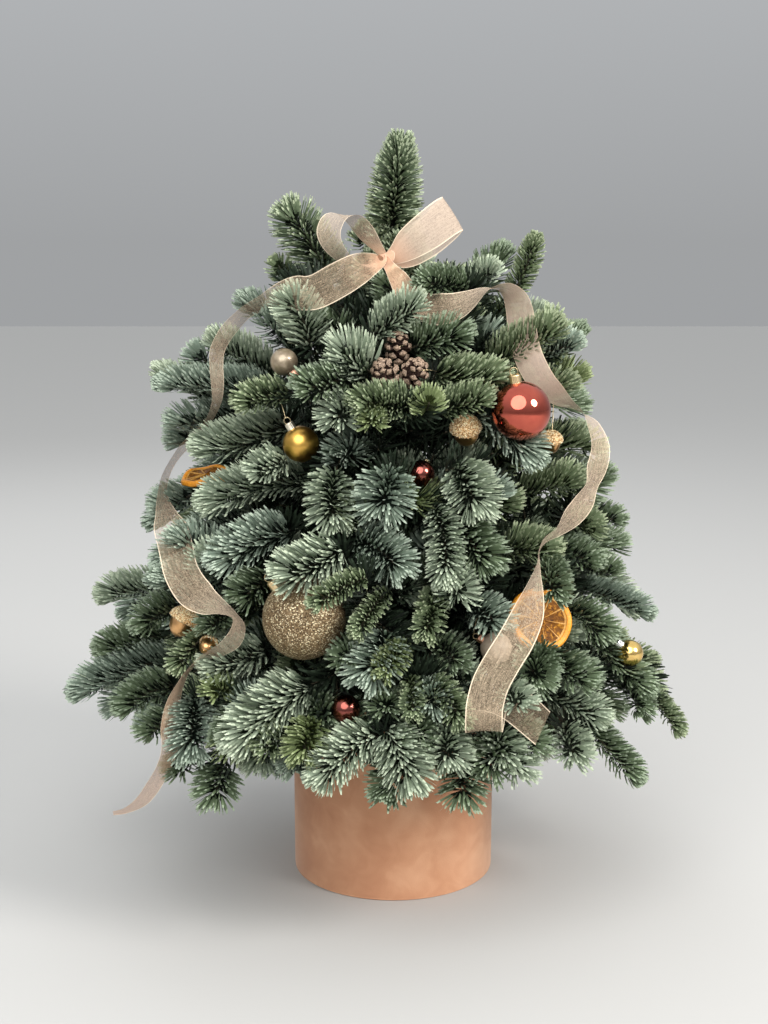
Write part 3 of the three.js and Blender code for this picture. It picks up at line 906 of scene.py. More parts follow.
random = seeded(SEED + 990)
turn = 0.0
for z in np.arange(*TRUNK_HEIGHTS):
    start = on_line(TRUNK_LINE, trunk_share(z))
    heading = np.array((math.cos(turn), math.sin(turn), 0.1 + 0.6 * random()))
    long = (TRUNK_SHORTEST + TRUNK_GROWTH * (TRUNK_HEIGHTS[1] - z)) * vary(random, 0.2)
    line = np.array((start, start + heading * long / 2, start + heading * long + np.array((0, 0, 6))))
    shoots.append(Shoot(line, -1, "old_in_shade"))
    turn += GOLDEN_TURN


# Places of the decorations
# Each decoration is wired on before the finest shoots close round it. It is pushed in from the
# viewer's side until it meets a stem or a side shoot, and the fine shoots in its way are cut.
CUT_ROOM = 5.0
CUT_REACH = 60.0
DEEPEST = 30.0
SHALLOWEST = -6.0
WIRE_GAP = 2
CORE_SHARE = 0.5  # of a slice's radius, since it is thin


def nearest_gap(points, samples):
    """The distance from each point to the nearest of the samples."""
    return np.array([np.linalg.norm(samples - point, axis=1).min() for point in points])


def seat(px, py, clearance, least=SHALLOWEST):
    """Pushes a place in along a pixel's ray until a twig is nearer than clearance."""
    reaches = np.arange(how_far(px, py, least), how_far(px, py, DEEPEST) + 1, SEEN_STEP)
    points = CAMERA_PLACE + pixel_ray(px, py) * reaches[:, None]
    met = nearest_gap(points, resting_on) < clearance
    return points[np.argmax(met)] if met.any() else points[-1]


resting_on = np.concatenate([
    on_line(shoot.line, np.linspace(0.05, 1, 14))
    for shoot in shoots if shoot.kind in ("end", "side", "spray")
])
SUNK = {"glitter_ball": 16.0, "satin_gold_ball": 2.0, "orange_slice_2": 8.0, "orange_slice_1": 4.0}
PLACES = {  # pixel x and y, radius
    "glitter_ball": (304, 618, 29.0),
    "satin_gold_ball": (301, 444, 13.0),
    "pearl_ball": (284, 362, 10.0),
    "mirror_ball": (521, 411, 21.0),
    "dark_red_ball_1": (421, 474, 9.8),
    "dark_red_ball_2": (346, 709, 10.0),
    "cream_ball": (496, 648, 11.2),
    "small_gold_ball": (630, 653, 10.0),
    "cone_1": (398, 348, 11.5),
    "cone_2": (385, 373, 11.5),
    "cone_3": (414, 373, 11.5),
    "acorn_1": (466, 431, 12.0),
    "acorn_2": (551, 442, 9.5),
    "acorn_3": (183, 622, 11.0),
    "acorn_4": (208, 646, 8.0),
    "orange_slice_1": (540, 620, 24.0),
    "orange_slice_2": (206, 476, 20.0),
}
KNOT_PIXEL = (386, 260)
KNOT_NEARNESS = 12.0
KNOT_ROOM = 16
centres = {
    name: seat(px, py, radius * (CORE_SHARE if "slice" in name else 1) + WIRE_GAP, SUNK.get(name, SHALLOWEST))
    for name, (px, py, radius) in PLACES.items()
}
knot = seat(*KNOT_PIXEL, KNOT_ROOM) - pixel_ray(*KNOT_PIXEL) * KNOT_NEARNESS
BOW_SPOTS = ((-24, 24, 24.0), (44, 24, 24.0), (0, 0, 12.0), (-34, -20, 16.0))  # right, up and room
cleared = [(centres[name], PLACES[name][2]) for name in PLACES]
cleared += [(knot + np.array((right, 0.0, up)), spot_room) for right, up, spot_room in BOW_SPOTS]


def in_the_way(points, centre, radius):
    """Which points lie in a decoration, or between it and the viewer."""
    towards = unit(CAMERA_PLACE - centre)
    along = np.clip((points - centre) @ towards, 0, CUT_REACH)
    return np.linalg.norm(points - centre - along[:, None] * towards, axis=1) < radius


def is_clear(shoot):
    points = on_line(shoot.line, np.linspace(0.15, 1, 12))
    return not any(in_the_way(points, centre, radius + CUT_ROOM).any() for centre, radius in cleared)


shoots = [
    shoot for shoot in shoots
    if shoot.kind == "spray" or shoot.index == len(carriers) - 1 or is_clear(shoot)
]


# Needles
# Flat, blunt fir needles, curved like a hockey stick, that stand all round a shoot and bend up
# from its underside. The wax on them makes the outer ones blue-grey, and young ones are green.
NEEDLE_LENGTH = 21.0
NEEDLE_WIDTH = 1.9
NEEDLE_ROLL = (18, 55)  # degrees, to one side or the other
NEEDLE_SECTIONS = np.array((0.0, 0.36, 0.84, 1.0))
NEEDLE_WIDTHS = np.array((0.6, 1.0, 0.95, 0.5))
NEEDLES_PER_MM = {"end": 4.4, "side": 4.4, "spray": 6.6, "cover": 4.3, "fine": 3.5, "old_in_shade": 1.1, "bare": 2.0}
NEEDLES_A_PIECE = 30000
UNDERSIDE_SHARE = 0.82
LIGHT_LIFT = 0.9
FEWEST = 8
SMALL_SHARE = 0.4  # how much of its needles even the smallest spray keeps
DENSE_END = 0.9  # the needles up to here are even, and the tip's own crowd past it
FOOT_LENGTH = 0.72  # of a needle at the shoot's foot, where they are shorter
FOOT_GROWTH = 2.0
LEANING = 6  # degrees that they lean forward along the shoot
TIP_LEANING = 42
TIP_LEANING_CURVE = 1.3
BEND_PLAY = 0.07
TIP_BEND = 0.35
TWIG_SURFACE = 0.8
UPRIGHT = 0.8
LIGHT_UP = np.array((0, 0, 0.8))
LIGHT_OUT = 0.6
HABITS = {
    "shoot": {"crowding": 1, "tip_share": 0.2, "end_from": 0.82, "end_curve": 1, "taper": 0.3,
              "taper_curve": 2, "length": 1, "steepest": 86, "closing": 0.69},
    "leader": {"crowding": 2.7, "tip_share": 0.12, "end_from": 0.65, "end_curve": 1.5, "taper": 0.4,
               "taper_curve": 1, "length": 1.03, "steepest": 98, "closing": 0.84},
}
# root is a colour many times darker than the blade: painted shade among the needles next to their shoot
TINT_COLUMNS = ("share", "side", "root", "blade", "tip")  # side: how many more of it on the right
TINTS = {name: dict(zip(TINT_COLUMNS, row)) for name, *row in (
    ("sage", 0.34, -0.3, (0.017, 0.026, 0.015), (0.295, 0.352, 0.258), (0.48, 0.545, 0.41)),
    ("blue", 0.24, -1.0, (0.014, 0.023, 0.016), (0.235, 0.295, 0.232), (0.425, 0.50, 0.405)),
    ("deep", 0.18, 0.6, (0.009, 0.015, 0.008), (0.140, 0.188, 0.108), (0.305, 0.37, 0.26)),
    ("dark", 0.03, 0.6, (0.014, 0.021, 0.011), (0.150, 0.196, 0.118), (0.43, 0.495, 0.34)),
    ("fresh", 0.16, 0.9, (0.016, 0.026, 0.008), (0.165, 0.212, 0.115), (0.35, 0.405, 0.255)),
    ("young", 0.05, 0.0, (0.036, 0.050, 0.012), (0.200, 0.250, 0.110), (0.35, 0.41, 0.22)),
    # painted shade: near-black colours for the needles deep in the crown
    ("old_in_shade", 0.0, 0.0, (0.005, 0.009, 0.005), (0.012, 0.020, 0.011), (0.024, 0.038, 0.022)),
)}


def needles_on(shoot, random):
    """Roots, headings and sizes of one shoot's needles, which turn up and out to the light."""
    habit = HABITS["leader" if shoot.index == len(carriers) - 1 else "shoot"]
    kept = 1
    whole = kept * habit["crowding"] * (SMALL_SHARE + (1 - SMALL_SHARE) * shoot.size)
    count = max(FEWEST, int(shoot.length * NEEDLES_PER_MM[shoot.kind] * whole))
    order = np.arange(count)
    share = (order + random.uniform(0, 1, count)) / count
    tip_share = habit["tip_share"]
    even = share / (1 - tip_share) * DENSE_END
    crowded = DENSE_END + (share - 1 + tip_share) / tip_share * (1 - DENSE_END)
    along = np.clip(np.where(share < 1 - tip_share, even, crowded), 0.01, 1)
    forward = heading_on(shoot.line, along)
    upright = unit(shoot.line[2] - shoot.line[0])[2] > UPRIGHT
    outwards = unit(shoot.line[2] * np.array((1, 1, 0)))
    towards_light = np.array((0.0, 1.0, 0.0)) if upright else LIGHT_UP + outwards * LIGHT_OUT
    side, up = across(forward, towards_light)
    turn = (order * GOLDEN_TURN + random.normal(0, 0.05, count) + math.pi) % (2 * math.pi) - math.pi
    turn *= 1.0 if upright else UNDERSIDE_SHARE
    outward = up * np.cos(turn)[:, None] + side * np.sin(turn)[:, None]
    lift = up * (0.0 if upright else LIGHT_LIFT)
    end = np.clip((along - habit["end_from"]) / (1 - habit["end_from"]), 0, 1) ** habit["end_curve"]
    fullness = np.minimum(FOOT_LENGTH + FOOT_GROWTH * along, 1)
    fullness *= 1 - habit["taper"] * end ** habit["taper_curve"]
    long = NEEDLE_LENGTH * shoot.size * fullness * random.uniform(0.92, 1.05, count) * habit["length"]
    start_angle = np.radians(habit["steepest"] - LEANING * along - TIP_LEANING * end ** TIP_LEANING_CURVE)
    start_angle *= random.uniform(0.95, 1.05, count)
    closing = random.uniform(habit["closing"] - BEND_PLAY, habit["closing"] + BEND_PLAY, count)
    end_angle = start_angle * (closing - TIP_BEND * end)
    root = on_line(shoot.line, along) + outward * TWIG_SURFACE
    roll = np.radians(random.uniform(*NEEDLE_ROLL, count))
    roll *= np.where(random.uniform(0, 1, count) < 0.5, 1, -1)
    return root, forward, outward, lift, long, start_angle, end_angle, roll


def needle_corners(root, forward, outward, lift, long, start_angle, end_angle, roll):
    """Eight corners a needle: two at each of four sections, the last ones at its blunt tip."""
    crosswise = unit(np.cross(forward, outward))
    place = root.copy()
    corners = []
    before = 0
    for share, width in zip(NEEDLE_SECTIONS, NEEDLE_WIDTHS):
        angle = start_angle + (end_angle - start_angle) * share
        heading = forward * np.cos(angle)[:, None] + unit(outward + lift * share) * np.sin(angle)[:, None]
        place = place + heading * (long * (share - before))[:, None]
        flatwise = unit(np.cross(heading, crosswise))
        half = crosswise * np.cos(roll)[:, None] + flatwise * np.sin(roll)[:, None]
        half = half * NEEDLE_WIDTH / 2 * width
        before = share
        corners += [place - half, place + half]
    return np.stack(corners, axis=1)


STRIP = ((0, 1, 3), (0, 3, 2))
ONE_NEEDLE = np.array([(low + a, low + b, low + c) for low in (0, 2, 4) for a, b, c in STRIP])
ONE_NEEDLE_PARTS = np.repeat((0, 1, 2), 2)
TIP_PLAY_ROOM = 8
ORNAMENT_REACH = 50
ORNAMENT_GAP = 0.4
VIEW_SHARE = 0.8
TINT_WIDTH = 200
YOUNG_LONGEST = 55
YOUNG_CHANCE = 2.5
draws = np.random.default_rng(SEED)
tint_names = [name for name in TINTS if TINTS[name]["share"]]
by_tint = {name: [] for name in TINTS}
for shoot in shoots:
    corners = needle_corners(*needles_on(shoot, draws))
    tips = corners[:, -1]
    out = np.hypot(tips[:, 0], tips[:, 1])
    fits = (crown_reach(tips) + OUTLINE_PLAY + TIP_PLAY_ROOM > out) | (shoot.kind in ("end", "spray"))
    fits &= (out > POT_RADIUS + 1) | (tips[:, 2] > POT_HEIGHT + 1)
    for centre, radius in cleared:
        if np.linalg.norm(shoot.line - centre, axis=1).min() < shoot.length + radius + ORNAMENT_REACH:
            fits &= np.linalg.norm(corners - centre, axis=2).min(1) > radius + ORNAMENT_GAP
            if shoot.kind != "spray":
                fits &= ~in_the_way(tips, centre, radius * VIEW_SHARE)
                fits &= ~in_the_way(corners[:, 4], centre, radius * VIEW_SHARE)
    side = shoot.line[2][0] / TINT_WIDTH
    weights = np.array([TINTS[name]["share"] * math.exp(TINTS[name]["side"] * side) for name in tint_names])
    weights[tint_names.index("young")] *= YOUNG_CHANCE if shoot.length < YOUNG_LONGEST else 0.0
    # bare and inner shoots get the near-black painted-shade colours
    dealt = "old_in_shade" if shoot.kind in ("old_in_shade", "bare") else draws.choice(tint_names, p=weights / weights.sum())
    by_tint[shoot.tint or dealt].append(corners[fits])

for tint, tufts in by_tint.items():
    finishes = []
    # the root third of each needle takes the root colour, which is painted shade
    for part in ("root", "blade", "tip"):
        colour = (*TINTS[tint][part], 1)
        name = f"needle_{tint}_{part}"
        finishes.append(new_material(name, Base_Color=colour, Roughness=0.58, Specular_IOR_Level=0.25)[0])
    needles = np.concatenate(tufts)
    for number, start in enumerate(range(0, len(needles), NEEDLES_A_PIECE)):
        batch = needles[start:start + NEEDLES_A_PIECE]
        faces = ONE_NEEDLE[None] + 8 * np.arange(len(batch))[:, None, None]
        piece = new_piece(f"needles_{tint}_{number + 1}", "needles", batch.reshape(-1, 3),
                          faces.reshape(-1, 3), finishes, np.tile(ONE_NEEDLE_PARTS, len(batch)))
        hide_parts(*[f"needles_{carrier.name}" for carrier in carriers])

twig_finish = speckled(
    "twig_bark", "TexNoise", {"Scale": 700, "Detail": 3},
    ((0.35, (0.028, 0.024, 0.013)), (0.7, (0.075, 0.065, 0.035))), Roughness=0.8,
)
twig_tubes = [
    tube(shoot.line, 0, 0.97, 1.4 if shoot.kind == "end" else 1.0, 0.6, 5, 6)
    for shoot in shoots
]
stem_tubes = [
    tube(part_of(c.line, c.stem_start, min(1, c.stem_start + 0.2)), 0, 1, LIMB_END_RADIUS, STEM_RADIUS, 8, 4)
    for c in carriers
]
new_piece("twigs", "bark", *joined(twig_tubes + stem_tubes), [twig_finish])


# Balls
# Thin blown glass, silvered or painted, each with a short neck under a crimped metal cap. A
# wire ring through the cap is twisted round the nearest twig.
CAP_SHARE = 0.24
CRIMPS = 14
CRIMP_DEPTH = 0.035
WIRE_RADIUS = 0.35
WIRE_SIDES = 6
WIRE_SLACK = 4.0
WIRE_POINTS = 14


def placed(corners, direction, centre):
    """Turns corners so that +Z points along a direction, and moves them to a centre."""
    turn = Vector((0, 0, 1)).rotation_difference(Vector(unit(direction)))
    return np.asarray(corners) @ np.array(turn.to_matrix()).T + centre


def in_picture(right, up, towards=0.0):
    """A direction that is given as the viewer sees it."""
    sine = math.sin(CAMERA_PITCH)
    cosine = math.cos(CAMERA_PITCH)
    upwards = np.array((0, sine, cosine))
    to_viewer = np.array((0, -cosine, sine))
    return unit(np.array((1, 0, 0)) * right + upwards * up + to_viewer * towards)


def wire(points):
    """A thin tube through points."""
    forward = unit(np.gradient(points, axis=0))
    side = unit(np.cross(forward, (0.31, 0.17, 0.93)))
    up = np.cross(side, forward)
    turn = np.linspace(0, 2 * math.pi, WIRE_SIDES, endpoint=False)
    out = side[:, None] * np.cos(turn)[:, None] + up[:, None] * np.sin(turn)[:, None]
    rings = points[:, None] + WIRE_RADIUS * out
    return rings.reshape(-1, 3), ring_faces(len(points), WIRE_SIDES)[:, ::-1]


def tied_on(name, slot, places, *rings):
    """A wire from each place to the nearest stem or side shoot, with what rings it holds."""
    parts = list(rings)
    for place in places:
        nearest = resting_on[np.linalg.norm(resting_on - place, axis=1).argmin()]
        bend = (place + nearest) / 2 + np.array((0, 0, WIRE_SLACK))
        parts.append(wire(on_line(np.array((place, bend, nearest)), np.linspace(0, 1, WIRE_POINTS))))
    new_piece(f"{name}_wire", slot, *joined(parts), [wire_gold])


def glass_ball(name, towards_cap, finish, cap_finish, cap_share=CAP_SHARE):
    """A ball with its neck, its crimped cap, its ring and its wire, as three pieces."""
    centre = centres[name]
    radius = PLACES[name][2]
    neck = radius * cap_share
    lowest = math.asin(neck / radius * 0.92)
    profile = [(neck * 0.8, radius + neck * 0.3)]
    for angle in np.linspace(lowest, math.pi, 40):
        profile.append((max(AT_AXIS, radius * math.sin(angle)), radius * math.cos(angle)))
    corners, faces = lathe(profile, 64)
    new_piece(name, "velvet", placed(corners, towards_cap, centre), faces[:, ::-1], [finish])
    corners, faces = lathe(rounded([
        (AT_AXIS, radius + neck * 1.45),
        (neck * 0.9, radius + neck * 1.45),
        (neck * 1.02, radius + neck * 1.3),
        (neck * 1.06, radius * 0.97),
        (neck * 1.2, radius * 0.955),
        (neck * 1.1, radius * 0.93),
    ], bevel=neck * 0.2), CRIMPS * 4)
    turn = np.arctan2(corners[:, 1], corners[:, 0])
    corners[:, :2] *= (1 + CRIMP_DEPTH * np.cos(CRIMPS * turn))[:, None]
    new_piece(f"{name}_cap", "velvet", placed(corners, towards_cap, centre), faces[:, ::-1], [cap_finish])
    turn = np.linspace(0, 2 * math.pi, 25)
    ring_radius = neck * 0.75
    foot = radius + neck * 1.4
    heights = foot + ring_radius * (0.8 + np.sin(turn))
    ring = np.stack([ring_radius * np.cos(turn), np.zeros(25), heights], axis=1)
    top = placed([(0.0, 0.0, foot + ring_radius * 1.8)], towards_cap, centre)[0]
    tied_on(name, "velvet", [top], wire(placed(ring, towards_cap, centre)))


def metal(name, colour, roughness, worn, spread=0.06):
    """A metal finish with slightly uneven polish and a fine unevenness of its surface."""
    return speckled(
        name, "TexNoise", {"Scale": 160, "Detail": 3}, ((0.35, worn), (0.65, colour)),
        (spread, roughness - spread / 2), (0.12, 0.0004), Metallic=1.0,
    )


glitter = speckled(
    "champagne_glitter", "TexVoronoi", {"Scale": 1500},
    ((0.05, (0.07, 0.042, 0.02)), (0.5, (0.215, 0.14, 0.07)),
     (0.84, (0.36, 0.26, 0.14)), (0.95, (1.0, 0.90, 0.62))),
    (0.3, 0.38), (0.9, 0.0008), axes="XY", Metallic=0.6,
)
satin_gold = metal("satin_gold", (0.72, 0.43, 0.10), 0.32, (0.62, 0.36, 0.08))
cap_gold = metal("cap_gold", (0.80, 0.62, 0.36), 0.3, (0.62, 0.45, 0.24))
cap_cream = metal("cap_cream", (0.86, 0.80, 0.68), 0.4, (0.74, 0.66, 0.52))
cap_copper = metal("cap_copper", (0.78, 0.44, 0.30), 0.35, (0.62, 0.33, 0.22))
cap_silver = metal("cap_silver", (0.80, 0.80, 0.79), 0.25, (0.62, 0.62, 0.61))
mirror_red = metal("mirror_red", (0.54, 0.125, 0.085), 0.07, (0.49, 0.105, 0.075), spread=0.03)
dark_red = metal("dark_red", (0.29, 0.088, 0.070), 0.15, (0.23, 0.066, 0.052))
bright_gold = metal("bright_gold", (0.85, 0.60, 0.22), 0.18, (0.78, 0.52, 0.17))
wire_gold = metal("wire_gold", (0.62, 0.50, 0.30), 0.35, (0.45, 0.36, 0.22))
pearl = speckled(
    "champagne_pearl", "TexNoise", {"Scale": 220, "Detail": 4},
    ((0.35, (0.25, 0.19, 0.125)), (0.65, (0.39, 0.315, 0.22))), (0.2, 0.22),
    Metallic=0.45, Coat_Weight=0.5, Coat_Roughness=0.12,
)
cream = speckled(
    "matt_cream", "TexNoise", {"Scale": 300, "Detail": 4},
    ((0.35, (0.35, 0.27, 0.20)), (0.65, (0.44, 0.355, 0.27))), (0.2, 0.5),
    Coat_Weight=0.15, Coat_Roughness=0.4,
)

glass_ball("glitter_ball", in_picture(-0.62, 0.75, 0.2), glitter, cap_gold, cap_share=0.15)
glass_ball("satin_gold_ball", in_picture(-0.5, 0.85, 0.1), satin_gold, cap_cream)
glass_ball("pearl_ball", in_picture(0.62, -0.75, 0.1), pearl, cap_copper, cap_share=0.3)
glass_ball("mirror_ball", in_picture(-0.2, 0.95, 0.25), mirror_red, cap_gold, cap_share=0.18)
glass_ball("dark_red_ball_1", in_picture(0.3, 0.6, -0.7), dark_red, cap_gold)
glass_ball("dark_red_ball_2", in_picture(-0.5, 0.3, -0.8), dark_red, cap_gold)
glass_ball("cream_ball", in_picture(-0.85, 0.5, 0.05), cream, cap_copper)
glass_ball("small_gold_ball", in_picture(-0.7, 0.6, 0.2), bright_gold, cap_silver, cap_share=0.3)


# Cones
# Three small pine cones, opened by drying, wired together in a bunch. Their woody scales stand
# in two sets of spirals, dark brown inside with a pale, thick end.
SCALES = 30
cone_wood = speckled(
    "cone_wood", "TexNoise", {"Scale": 900, "Detail": 3},
    ((0.3, (0.022, 0.009, 0.006)), (0.7, (0.075, 0.033, 0.021))), bump=(0.4, 0.0004), Roughness=0.75,
)
cone_ends = speckled(
    "cone_ends", "TexNoise", {"Scale": 1100, "Detail": 4},
    ((0.34, (0.085, 0.048, 0.030)), (0.66, (0.40, 0.285, 0.20))), bump=(0.4, 0.0004), Roughness=0.6,
)

SCALE_OUTLINE = (  # out from the cone's middle, half its width, its underside and its top
    (0.0, 0.22, 0.0, 0.12), (0.5, 0.5, -0.02, 0.16), (0.84, 0.92, -0.18, 0.42), (0.96, 1.0, -0.22, 0.62),
    (1.1, 0.3, 0.12, 0.34),
)
SCALE_EDGE = 0.07
PALE_FROM = 3  # the stretch of the outline where its pale end starts
CONE_HEIGHT = 2.1  # in radii, as the scales' sizes
SCALE_SIZE = 0.62
SCALE_SHRINK = 0.3
LEAST_GIRTH = 2.0
SCALE_SHAPE = (0.52, 1.05)  # its width and its thickness, in sizes
SCALE_LIFTS = (5, 62, 6)  # degrees at the cone's foot, more at its tip, and play


def cone_scale():
    """One scale along +X, curling up to +Z: corners, faces and which faces are its pale end."""
    corners = []
    for x, half, low, high in SCALE_OUTLINE:
        lower = (low + high) / 2 - SCALE_EDGE
        upper = (low + high) / 2 + SCALE_EDGE
        corners += [(x, -half, lower), (x, 0, low), (x, half, lower)]
        corners += [(x, half, upper), (x, 0, high), (x, -half, upper)]
    rows = len(SCALE_OUTLINE)
    last = 6 * (rows - 1)
    ends = [(last, last + 1, last + 4, last + 5), (last + 1, last + 2, last + 3, last + 4)]
    faces = np.concatenate([ring_faces(rows, 6), ends])
    return np.array(corners), faces, np.arange(len(faces)) >= 6 * PALE_FROM


def turned_by(angle, first, second):
    """Two coordinates after a turn by an angle in their plane."""
    sine = math.sin(angle)
    cosine = math.cos(angle)
    return first * cosine - second * sine, first * sine + second * cosine


def cone(name, towards_tip, radius, random):
    """An open cone whose tip points to the given side."""
    one, one_faces, one_pale = cone_scale()
    corners = []
    height = radius * CONE_HEIGHT
    foot_lift, more_lift, play = SCALE_LIFTS
    for k in range(SCALES):
        share = (k + 0.5) / SCALES
        girth = radius * math.sin(math.pi * (0.12 + 0.83 * share)) ** 0.7
        size = radius * (SCALE_SIZE - SCALE_SHRINK * share)
        lift = math.radians(foot_lift + more_lift * share + play * (random() - 0.5))
        width, thickness = SCALE_SHAPE
        x, y, z = (one * np.array((max(girth, LEAST_GIRTH), size * width, size * thickness))).T
        out = x * math.cos(lift) - z * math.sin(lift)
        rise = x * math.sin(lift) * 0.7 + z * math.cos(lift) + height * (share - 0.5)
        corners.append(np.stack([*turned_by(GOLDEN_TURN * k, out, y), rise], axis=1))
    faces = one_faces + len(one) * np.arange(SCALES)[:, None, None]
    new_piece(name, "bark", placed(np.concatenate(corners), towards_tip, centres[name]), faces.reshape(-1, 4),
              [cone_wood, cone_ends], np.tile(one_pale, SCALES), smooth=False)


cone_random = seeded(SEED + 300)
cone("cone_1", in_picture(0.05, 0.75, 0.65), 11.0, cone_random)
cone("cone_2", in_picture(-0.25, 0.35, 0.9), 11.5, cone_random)
cone("cone_3", in_picture(0.3, 0.45, 0.85), 11.5, cone_random)
tied_on("cone", "bark", [centres[f"cone_{k}"] for k in (1, 2, 3)])


# Acorns
# Real acorns, gilded, with caps that are rolled in coarse golden grit. A wire runs from each cap
# to the nearest twig.
GRAINS = 420

nut_gold = metal("nut_gold", (0.78, 0.45, 0.20), 0.3, (0.60, 0.33, 0.14), spread=0.14)
grit = speckled(
    "cap_grit", "TexVoronoi", {"Scale": 1200},
    ((0.1, (0.42, 0.23, 0.085)), (0.5, (0.90, 0.62, 0.31)), (0.9, (1.0, 0.92, 0.66))),
    (0.3, 0.3), (0.6, 0.0006), axes="XX", Metallic=0.4,
)

OCTAHEDRON = np.array(((1, 0, 0), (0, 1, 0), (-1, 0, 0), (0, -1, 0), (0, 0, 1), (0, 0, -1)), dtype=float)
OCTAHEDRON_FACES = np.array([
    face for k in range(4) for face in ((k, (k + 1) % 4, 4), ((k + 1) % 4, k, 5))
])
CAP_GIRTH = 1.02
CAP_FOOT = 0.18
CAP_RISE = 0.85


def acorn(name, towards_cap, radius, seed):
    """A nut with a grit-covered cap, the cap towards the given side."""
    random = np.random.default_rng(seed)
    centre = centres[name]
    profile = [
        (max(AT_AXIS, radius * 0.86 * math.sin(a) ** 0.85), radius * (0.1 + 1.15 * math.cos(a)))
        for a in np.linspace(math.pi, math.pi * 0.35, 22)
    ]
    profile[0] = (AT_AXIS, profile[0][1] - radius * 0.12)
    corners, faces = lathe(profile, 36)
    new_piece(f"{name}_nut", "bark", placed(corners, towards_cap, centre), faces, [nut_gold])
    profile = [(radius * 0.9, radius * 0.1)] + [
        (max(AT_AXIS, radius * CAP_GIRTH * math.cos(a)), radius * (CAP_FOOT + CAP_RISE * math.sin(a)))
        for a in np.linspace(0, math.pi / 2, 16)
    ]
    order = np.arange(GRAINS)
    rise = np.arcsin((order + 0.5) / GRAINS)
    turn = GOLDEN_TURN * order
    girth = radius * CAP_GIRTH * np.cos(rise)
    height = radius * (CAP_FOOT + CAP_RISE * np.sin(rise))
    dome = np.stack([girth * np.cos(turn), girth * np.sin(turn), height], axis=1)
    spots = dome[:, None] + OCTAHEDRON * radius * 0.075 * random.uniform(0.7, 1.35, (GRAINS, 1, 3))
    spot_faces = OCTAHEDRON_FACES + 6 * order[:, None, None]
    corners, faces = joined([lathe(profile, 36), (spots.reshape(-1, 3), spot_faces.reshape(-1, 3))])
    new_piece(f"{name}_cap", "bark", placed(corners, towards_cap, centre), faces, [grit], smooth=False)
    tied_on(name, "bark", [centre + unit(towards_cap) * radius])


acorn("acorn_1", in_picture(-0.1, 0.75, 0.62), 11.0, SEED + 1)
acorn("acorn_2", in_picture(0.05, 0.85, 0.45), 8.5, SEED + 2)
acorn("acorn_3", in_picture(0.45, 0.85, 0.1), 11.0, SEED + 3)
acorn("acorn_4", in_picture(0.3, 0.35, -0.85), 7.0, SEED + 4)


# Orange slices
# Slices of orange, oven dried: a bright leathery rind, a thin pith and ten dark amber segments
# between pale skins that have shrunk to ridges.
SEGMENTS = 10

rind = speckled(
    "orange_rind", "TexNoise", {"Scale": 500, "Detail": 4},
    ((0.3, (0.62, 0.20, 0.008)), (0.7, (0.90, 0.38, 0.02))), (0.3, 0.35), (0.5, 0.0006),
    Specular_IOR_Level=0.5,
)
pulp = speckled(
    "orange_pulp", "TexNoise", {"Scale": 420, "Detail": 5, "Distortion": 0.8},
    ((0.3, (0.062, 0.020, 0.002)), (0.55, (0.205, 0.073, 0.005)), (0.75, (0.58, 0.27, 0.03))),
    (0.3, 0.4), (0.6, 0.001), Specular_IOR_Level=0.15,
)
skins = speckled(
    "orange_skins", "TexNoise", {"Scale": 600, "Detail": 3},
    ((0.3, (0.42, 0.18, 0.022)), (0.7, (0.68, 0.38, 0.09))), Roughness=0.6,
)
SLICE_HALF = 2.2
SLICE_SIDES = 90
SLICE_ROWS = 12
PITH_SHARE = 0.83
SKIN_FROM = 0.86
DIP = 0.9


def orange_slice(name, facing, radius, seed):
    """A dried slice whose flat faces look to the given side and away from it."""
    random = np.random.default_rng(seed)
    centre = centres[name]
    pith = radius * PITH_SHARE
    turn = np.linspace(0, 2 * math.pi, SLICE_SIDES, endpoint=False)
    wave = sum(random.uniform(0.4, 1.0) * np.sin(k * turn + random.uniform(0, 6)) for k in (2, 3, 5)) * 0.9
    near_skin = np.abs(((turn / (2 * math.pi) * SEGMENTS) % 1) - 0.5) * 2
    grid = []
    for face in (1, -1):
        for share in np.linspace(0, 1, SLICE_ROWS):
            dip = DIP * (1 - near_skin ** 8) * math.sin(math.pi * min(1, share * 0.98 + 0.02)) ** 0.5
            height = face * (SLICE_HALF - 0.5 - dip) + wave * share ** 2
            grid.append(np.stack([pith * share * np.cos(turn), pith * share * np.sin(turn), height], axis=1))
    one_face = ring_faces(SLICE_ROWS, SLICE_SIDES)
    faces = np.concatenate([one_face, one_face[:, ::-1] + SLICE_ROWS * SLICE_SIDES])
    is_skin = np.tile(near_skin > SKIN_FROM, SLICE_ROWS - 1)
    is_skin[-SLICE_SIDES:] = True
    new_piece(f"{name}_flesh", "needles", placed(np.concatenate(grid), facing, centre), faces,
              [pulp, skins], np.tile(is_skin, 2))
    corners, faces = lathe(rounded([
        (pith - 0.3, -SLICE_HALF),
        (radius - 1.2, -SLICE_HALF - 0.2),
        (radius, -SLICE_HALF * 0.5),
        (radius, SLICE_HALF * 0.5),
        (radius - 1.2, SLICE_HALF + 0.2),
        (pith - 0.3, SLICE_HALF),
        (pith - 0.6, 0),
        (pith - 0.3, -SLICE_HALF),
    ], bevel=0.6), SLICE_SIDES)
    corners[:, 2] += np.tile(wave, len(corners) // SLICE_SIDES)
    new_piece(f"{name}_rind", "needles", placed(corners, facing, centre), faces, [rind])
    tied_on(name, "needles", [placed([(0, radius - 2, 0.0)], facing, centre)[0]])


orange_slice("orange_slice_1", in_picture(0.25, 0.3, 0.9), 24.0, SEED + 5)
orange_slice("orange_slice_2", in_picture(-0.15, 0.93, 0.33), 20.0, SEED + 6)


